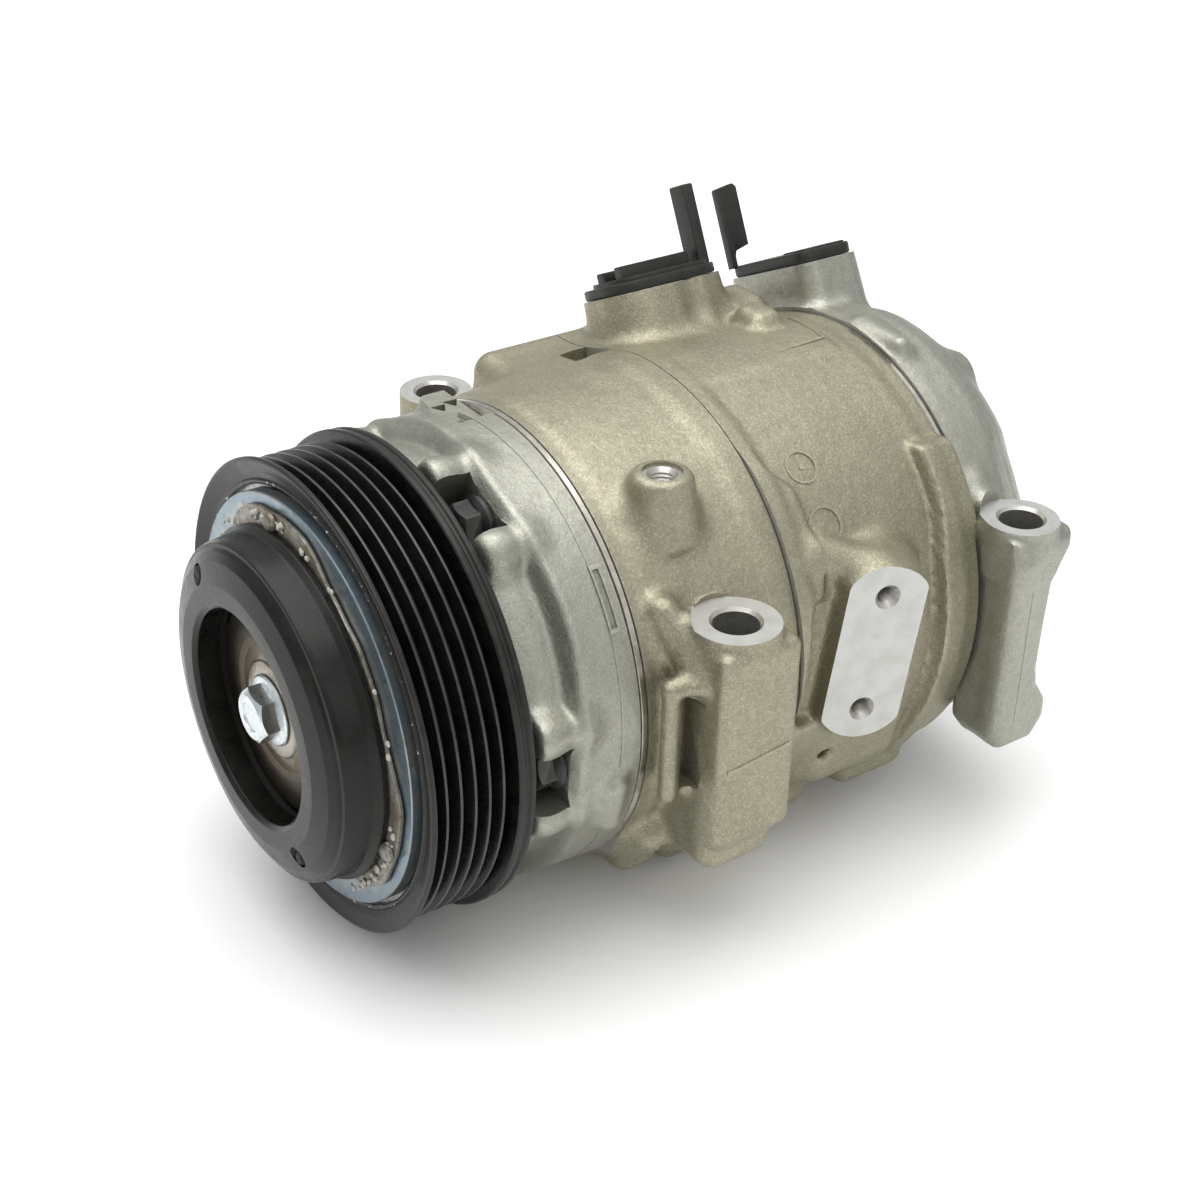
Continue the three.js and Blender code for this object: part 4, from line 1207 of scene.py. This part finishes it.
def crumbs():
    """Beads of sealant squeezed out along the rim of the spring plate."""
    rng = random.Random(7)
    beads = []
    spans = [(62, 116, 15), (-62, -8, 22), (-170, -110, 14), (116, 200, 5), (0, 60, 3)]
    for low, high, count in spans:
        for _ in range(count):
            degrees = rng.uniform(low, high)
            radius = rng.uniform(43.3, 45.4)
            x, z = polar(radius, degrees)
            size = rng.uniform(0.45, 1.05)
            mesh = bpy.data.meshes.new("bead")
            bm = bmesh.new()
            bmesh.ops.create_icosphere(bm, subdivisions=2, radius=size)
            for vertex in bm.verts:
                vertex.co *= 1 + rng.uniform(-0.16, 0.16)
                vertex.co.y *= 0.6
            bm.to_mesh(mesh)
            bm.free()
            bead = bpy.data.objects.new("bead", mesh)
            bpy.context.scene.collection.objects.link(bead)
            mesh.transform(Matrix.Translation((x, -2.75 - 0.3 * size, z)))
            beads.append(bead)
    first = beads[0]
    return join(first, *beads[1:])


# ---------------------------------------------------------------- caps and valve

def front_cap():
    face = port_place(**FRONT_PORT)
    plate = prism(rectangle(11.6, 16.5, 10), 2.6, face @ Matrix.Translation((0, 0, 0.1)), steps=12)
    bevel(plate, 0.5, 2)
    upper = prism(rectangle(10.2, 14.4, 8.5), 1.6, face @ Matrix.Translation((0.4, 0.4, 2.2)), steps=10)
    bevel(upper, 0.3, 2)
    spigot = rod(7.7, -7, 1, face @ Matrix.Translation((0, -5, 0)) @ Matrix.Rotation(math.pi / 2, 4, "X"))
    pull = prism(rectangle(3.2, 1.6, 0.6), 20.4, face @ Matrix.Translation((5, 12.4, 2.6)))
    bevel(pull, 0.5, 2)
    bars = []
    for x, y, half, top in ((-3.4, -4, 8, 3.0), (5, -1.6, 10.4, 3.6)):
        bar = prism(rectangle(1.8, half, 0.5), top, face @ Matrix.Translation((x, y, 3.2)))
        bars.append(bevel(bar, 0.4, 2))
    rib = prism(rectangle(0.6, 7.5, 0.2), 2.2, face @ Matrix.Translation((0.7, -2.5, 3.4)))
    return join(plate, upper, spigot, pull, *bars, rib)


def rear_cap():
    face = port_place(**REAR_PORT)
    plate = prism(rectangle(16.1, 8.7, 4), 3.0, face @ Matrix.Translation((0, 0, 0.1)), steps=8)
    bevel(plate, 0.5, 2)
    spigot = rod(6.2, -7, 1, face @ Matrix.Rotation(math.pi / 2, 4, "X"))
    pad = prism(rectangle(5.0, 7.4, 2.5), 1.0, face @ Matrix.Translation((10.2, 0, 2.6)), steps=6)
    bevel(pad, 0.3, 2)
    # an upright pull tab whose lower right corner is notched out
    lay = face @ Matrix.Translation((-15.8, -7.0, 2.6)) @ Matrix(
        ((0, 0, 1, 0), (1, 0, 0, 0), (0, 1, 0, 0), (0, 0, 0, 1)))
    outline = [(-2.2, 0), (-0.6, 0, 0.2), (-0.6, 3.2, 0.3), (0.0, 4.6, 0.3), (4.4, 5.6, 0.3),
               (4.4, 21.4, 0.9), (3.4, 22.4, 0.4), (-2.2, 21.6, 0.8)]
    tab = prism(outline, 2.6, lay)
    bevel(tab, 0.4, 2)
    return join(plate, spigot, pad, tab)


def relief_valve():
    place = axial(*VALVE)
    stem = lathe([(0, 180), (4.6, 180), (4.6, 187.2), (7.0, 187.3, 0.3), (8.0, 187.7, 0.3), (8.0, 188.4, 0.3),
                  (5, 188.6), (5, 190), (0, 190)], 64, place)
    flats = prism([polar(7.4, 60 * k + 8) for k in range(6)], 3.8,
                  place @ Matrix.Translation((0, 188.2, 0)) @ Matrix.Rotation(-math.pi / 2, 4, "X"))
    bevel(flats, 0.35, 2, 20)
    tip = lathe([(0, 191), (5.4, 191, 0.3), (5.4, 195.4, 0.3), (4.8, 195.8, 0.2), (4.8, 196.4, 0.2),
                 (6.6, 196.5, 0.3),
                 (6.6, 198, 0.5), (2.5, 198, 0.3), (2.2, 196.8, 0.2), (0, 196.8)], 64, place)
    return join(stem, flats, tip)


def valve_plate(start, end, inner):
    plate = lathe([(inner, start), (56.85, start), (57.15, start + 0.2), (57.15, end - 0.2), (56.85, end),
                   (inner, end)], 192, name="plate")
    tools = bolt_holes(start - 1, end + 1)
    for circle in (27, 44):
        tools += bore_tools(2.6, start - 1, end + 1, PISTON_ANGLES, circle, 20)
    return cut(plate, *tools)


# ---------------------------------------------------------------- where each look goes

def near(value, target, tolerance=0.06):
    return np.abs(value - target) < tolerance


MILLED_LOOK, BORED_LOOK = 1, 2         # places in LOOKS and SMOOTH_LOOKS


def casting_rule(planes_y, faces, bores):
    """Cast skin everywhere but on milled faces and in bored holes."""
    def rule(centres, normals):
        x, y, z = centres.T
        index = np.zeros(len(centres), int)
        for plane in planes_y:
            flat = near(y, plane) & (np.abs(normals[:, 1]) > 0.99)
            index[flat & (np.hypot(x, z) < 59)] = MILLED_LOOK
        for point, normal, reach in faces:
            away = centres - np.array(point)
            on_plane = np.abs(away @ np.array(normal)) < 0.06
            facing = normals @ np.array(normal) > 0.99
            index[on_plane & facing & (np.linalg.norm(away, axis=1) < reach)] = MILLED_LOOK
        for (px, py, pz), axis, radius, low, high in bores:
            away = centres - np.array((px, py, pz))
            along = away @ np.array(axis)
            rho = np.linalg.norm(away - along[:, None] * np.array(axis), axis=1)
            index[(rho < radius) & (along > low) & (along < high)] = BORED_LOOK
        return index
    return rule


UP = (0, 0, 1)
Y_AXIS = (0, 1, 0)
PORT_OUT = (-math.sin(TILT), 0, math.cos(TILT))
PAD_OUT = tuple(pad_place().to_3x3() @ Vector((0, 0, 1)))


def port_face(port):
    return tuple(port_place(**port).translation)


def lug_faces(x, y):
    faces = [((x, y, LUG_TOP), UP, 14), ((x, y, LUG_BOTTOM), (0, 0, -1), 16)]
    return faces, [((x, y, 0), UP, 6.7, LUG_BOTTOM - 1, LUG_TOP - 0.05)]


def inner_bores(low, high):
    centres = [polar(PISTON_CIRCLE, a) for a in PISTON_ANGLES]
    holes = [((x, 0, z), Y_AXIS, PISTON_BORE + 0.2, low, high) for x, z in centres]
    return holes + [((0, 0, 0), Y_AXIS, 43.4, low, high)]


LOOKS = [CAST_BLOCK, MACHINED, BORE]
SMOOTH_LOOKS = [CAST_SMOOTH, MACHINED, BORE]
front_faces, front_bores = lug_faces(*FRONT_LUG)
far_faces, far_bores = lug_faces(*FAR_LUG)
rear_faces, rear_bores = lug_faces(*REAR_LUG)
pad_holes = [(tuple(pad_place() @ Vector((0, up, 0))), PAD_OUT, 4.0, -9, -0.05) for up in PAD_HOLES]

finish_piece(
    front_housing(), "front_housing_casting", "housing", ["front_housing"], SMOOTH_LOOKS,
    casting_rule([FRONT_SEAT], [((-15, 50, 54.4), UP, 16)], [((0, 0, 0), Y_AXIS, 20.3, 0, 56)]))
finish_piece(
    front_cylinder(), "front_cylinder_casting", "housing", ["front_cylinder"], LOOKS,
    casting_rule(
        [BLOCK_FRONT, BLOCK_JOINT[0]], front_faces + far_faces + [((*THREADED_BOSS, THREADED_FACE), UP, 5)],
        front_bores + far_bores + [((*THREADED_BOSS, 0), UP, 5.0, 40, 54)] + inner_bores(55.4, 96.3)))
finish_piece(
    rear_cylinder(), "rear_cylinder_casting", "housing", ["rear_cylinder"], LOOKS,
    casting_rule(
        [BLOCK_JOINT[1], BLOCK_REAR],
        [(tuple(pad_place().translation), PAD_OUT, 30), (port_face(FRONT_PORT), PORT_OUT, 26)],
        pad_holes + inner_bores(96.7, 151.9)))
finish_piece(
    rear_housing(), "rear_housing_casting", "housing", ["rear_housing"], SMOOTH_LOOKS,
    casting_rule([REAR_SEAT, VALVE_FACE], rear_faces + [(port_face(REAR_PORT), PORT_OUT, 22)],
                 rear_bores + [((0, 0, 0), Y_AXIS, 43.7, 156.1, 171)]))

for side, start, end, inner in (("front", *FRONT_PLATE, 9), ("rear", *REAR_PLATE, 3)):
    finish_piece(valve_plate(start, end, inner), f"{side}_valve_plate_ring", "housing",
                 [f"{side}_valve_plate"], [BAND])
for i in range(5):
    finish_piece(through_bolt(i), f"flange_bolt_{i + 1}", "housing", [f"through_bolt_{i + 1}"],
                 [BLACK_STEEL])
finish_piece(relief_valve(), "pressure_relief_valve", "housing", ["relief_valve"], [ZINC])


def pulley_rule(centres, normals):
    rho = np.hypot(centres[:, 0], centres[:, 2])
    y = centres[:, 1]
    index = np.zeros(len(centres), int)
    index[(y < 0.6) & (rho > 50)] = 1
    index[(y > 20.2) & (rho > 50)] = 1
    index[(y < 2.5) & (rho < 50.45)] = 2
    # the rib crests take the lighter crest paint, partly a painted highlight
    index[(rho > 55.6) & (y > 0.6) & (y < 20.2)] = 3
    return index


finish_piece(pulley(), "belt_pulley", "pulley", ["pulley"],
             [PULLEY_PAINT, FLANGE_PAINT, ROTOR_FACE, RIB_PAINT], pulley_rule, 32)
finish_piece(clutch_hub(), "hub_shell", "drive", ["clutch_hub"], [HUB_PAINT], None, 40)
first_pin, second_pin = hub_pins()
finish_piece(first_pin, "hub_pin_1", "drive", [], [RUBBER])
finish_piece(second_pin, "hub_pin_2", "drive", [], [RUBBER])
finish_piece(shaft_hub(), "hub_plate", "drive", ["shaft_hub"], [HUB_PLATE], None, 40)
finish_piece(centre_bolt(), "hub_bolt", "drive", ["centre_bolt"], [ZINC], None, 25)
finish_piece(armature(), "armature_ring", "armature", ["armature_plate"], [BLUED])
finish_piece(spring_plate(), "spring_ring", "armature", ["spring_plate"], [SPRING])
for i, degrees in enumerate(RIVET_ANGLES):
    finish_piece(rivet(degrees), f"rivet_{i + 1}", "armature", [f"armature_rivet_{i + 1}"], [SPRING])
finish_piece(crumbs(), "sealant_beads", "armature", [], [SEALANT])
for side, make_cap in (("front", front_cap), ("rear", rear_cap)):
    finish_piece(make_cap(), f"{side}_cap_moulding", f"{side}_cap", [f"{side}_port_cap"],
                 [BLACK_PLASTIC])

slot_looks = {
    "steel": STEEL, "machined": MACHINED, "rubber": RUBBER, "brass": BRASS, "coil_plastic": COIL_PLASTIC,
    "black_steel": BLACK_STEEL, "zinc": ZINC, "rusty_steel": SPRING, "cast_block": CAST_BLOCK,
    "cast_smooth": CAST_SMOOTH, "pulley_black": PULLEY_PAINT, "blued_steel": BLUED,
    "black_plastic": BLACK_PLASTIC,
}
slot_of = {part["node"]: part["material_slot"] for part in frame["record"]["subparts"]}
for node, obj in frame["nodes"].items():
    look = slot_looks[slot_of[node]]
    obj.data.materials.clear()
    obj.data.materials.append(look)


# ---------------------------------------------------------------- floor, light, camera

def floor():
    mesh = bpy.data.meshes.new("floor")
    reach = 6.0
    corners = [(-reach, -reach, 0), (reach, -reach, 0), (reach, reach, 0), (-reach, reach, 0)]
    mesh.from_pydata(corners, [], [(0, 1, 2, 3)])
    obj = bpy.data.objects.new("floor", mesh)
    bpy.context.scene.collection.objects.link(obj)
    paper = bpy.data.materials.new("paper")
    paper.use_nodes = True
    shader = paper.node_tree.nodes["Principled BSDF"]
    shader.inputs["Base Color"].default_value = (0.93, 0.93, 0.925, 1)
    shader.inputs["Roughness"].default_value = 0.9
    shader.inputs["Specular IOR Level"].default_value = 0.1
    mesh.materials.append(paper)


def softbox(name, place, target, size, power, tone=(1, 1, 1)):
    data = bpy.data.lights.new(name, "AREA")
    data.shape = "RECTANGLE"
    data.size, data.size_y = size
    data.energy = power
    data.color = tone
    obj = bpy.data.objects.new(name, data)
    bpy.context.scene.collection.objects.link(obj)
    obj.location = place
    obj.rotation_mode = "QUATERNION"
    obj.rotation_quaternion = (Vector(target) - Vector(place)).to_track_quat("-Z", "Y")


def sky():
    """A light tent: bright overhead, darker towards the horizon."""
    world = bpy.data.worlds.new("tent")
    bpy.context.scene.world = world
    world.use_nodes = True
    tree = world.node_tree
    tree.nodes.clear()
    coordinate = tree.nodes.new("ShaderNodeTexCoord")
    parts = tree.nodes.new("ShaderNodeSeparateXYZ")
    ramp = tree.nodes.new("ShaderNodeValToRGB")
    background = tree.nodes.new("ShaderNodeBackground")
    output = tree.nodes.new("ShaderNodeOutputWorld")
    tree.links.new(coordinate.outputs["Generated"], parts.inputs[0])
    tree.links.new(parts.outputs[2], ramp.inputs[0])
    tree.links.new(ramp.outputs[0], background.inputs[0])
    tree.links.new(background.outputs[0], output.inputs[0])
    stops = ramp.color_ramp.elements
    stops[0].position, stops[0].color = 0.0, (0.30, 0.30, 0.30, 1)
    stops[1].position, stops[1].color = 0.9, (1.0, 1.0, 1.0, 1)
    middle = stops.new(0.45)
    middle.color = (0.62, 0.62, 0.62, 1)
    background.inputs[1].default_value = 1.12


floor()
sky()
centre = Vector((CAD_BOX[0] + CAD_BOX[1]) / 2)
softbox("key", centre + Vector((-0.1, -0.1, 1.2)), centre, (1.4, 1.4), 14)
softbox("fill", centre + Vector((1.1, 0.2, 0.5)), centre, (0.7, 0.7), 1.0)

CAMERA = (350.74, -172.09, 256.79)     # shaft millimetres
AZIMUTH, ELEVATION, ROLL = 0.9434469, 0.5361478, 0.0255086
camera_data = bpy.data.cameras.new("camera")
camera_data.sensor_width = 36
camera_data.lens = 60.48
camera_data.clip_start, camera_data.clip_end = 0.01, 50
camera = bpy.data.objects.new("camera", camera_data)
bpy.context.scene.collection.objects.link(camera)
back = Vector((math.sin(AZIMUTH) * math.cos(ELEVATION), -math.cos(AZIMUTH) * math.cos(ELEVATION),
               math.sin(ELEVATION)))
level = Vector((math.cos(AZIMUTH), math.sin(AZIMUTH), 0))
right = level * math.cos(ROLL) + back.cross(level) * math.sin(ROLL)
turn = Matrix((right, back.cross(right), back)).transposed()
camera.matrix_world = Matrix.Translation(ORIGIN + Vector(CAMERA) * MM) @ turn.to_4x4()
bpy.context.scene.camera = camera
bpy.context.scene.view_settings.view_transform = "Standard"
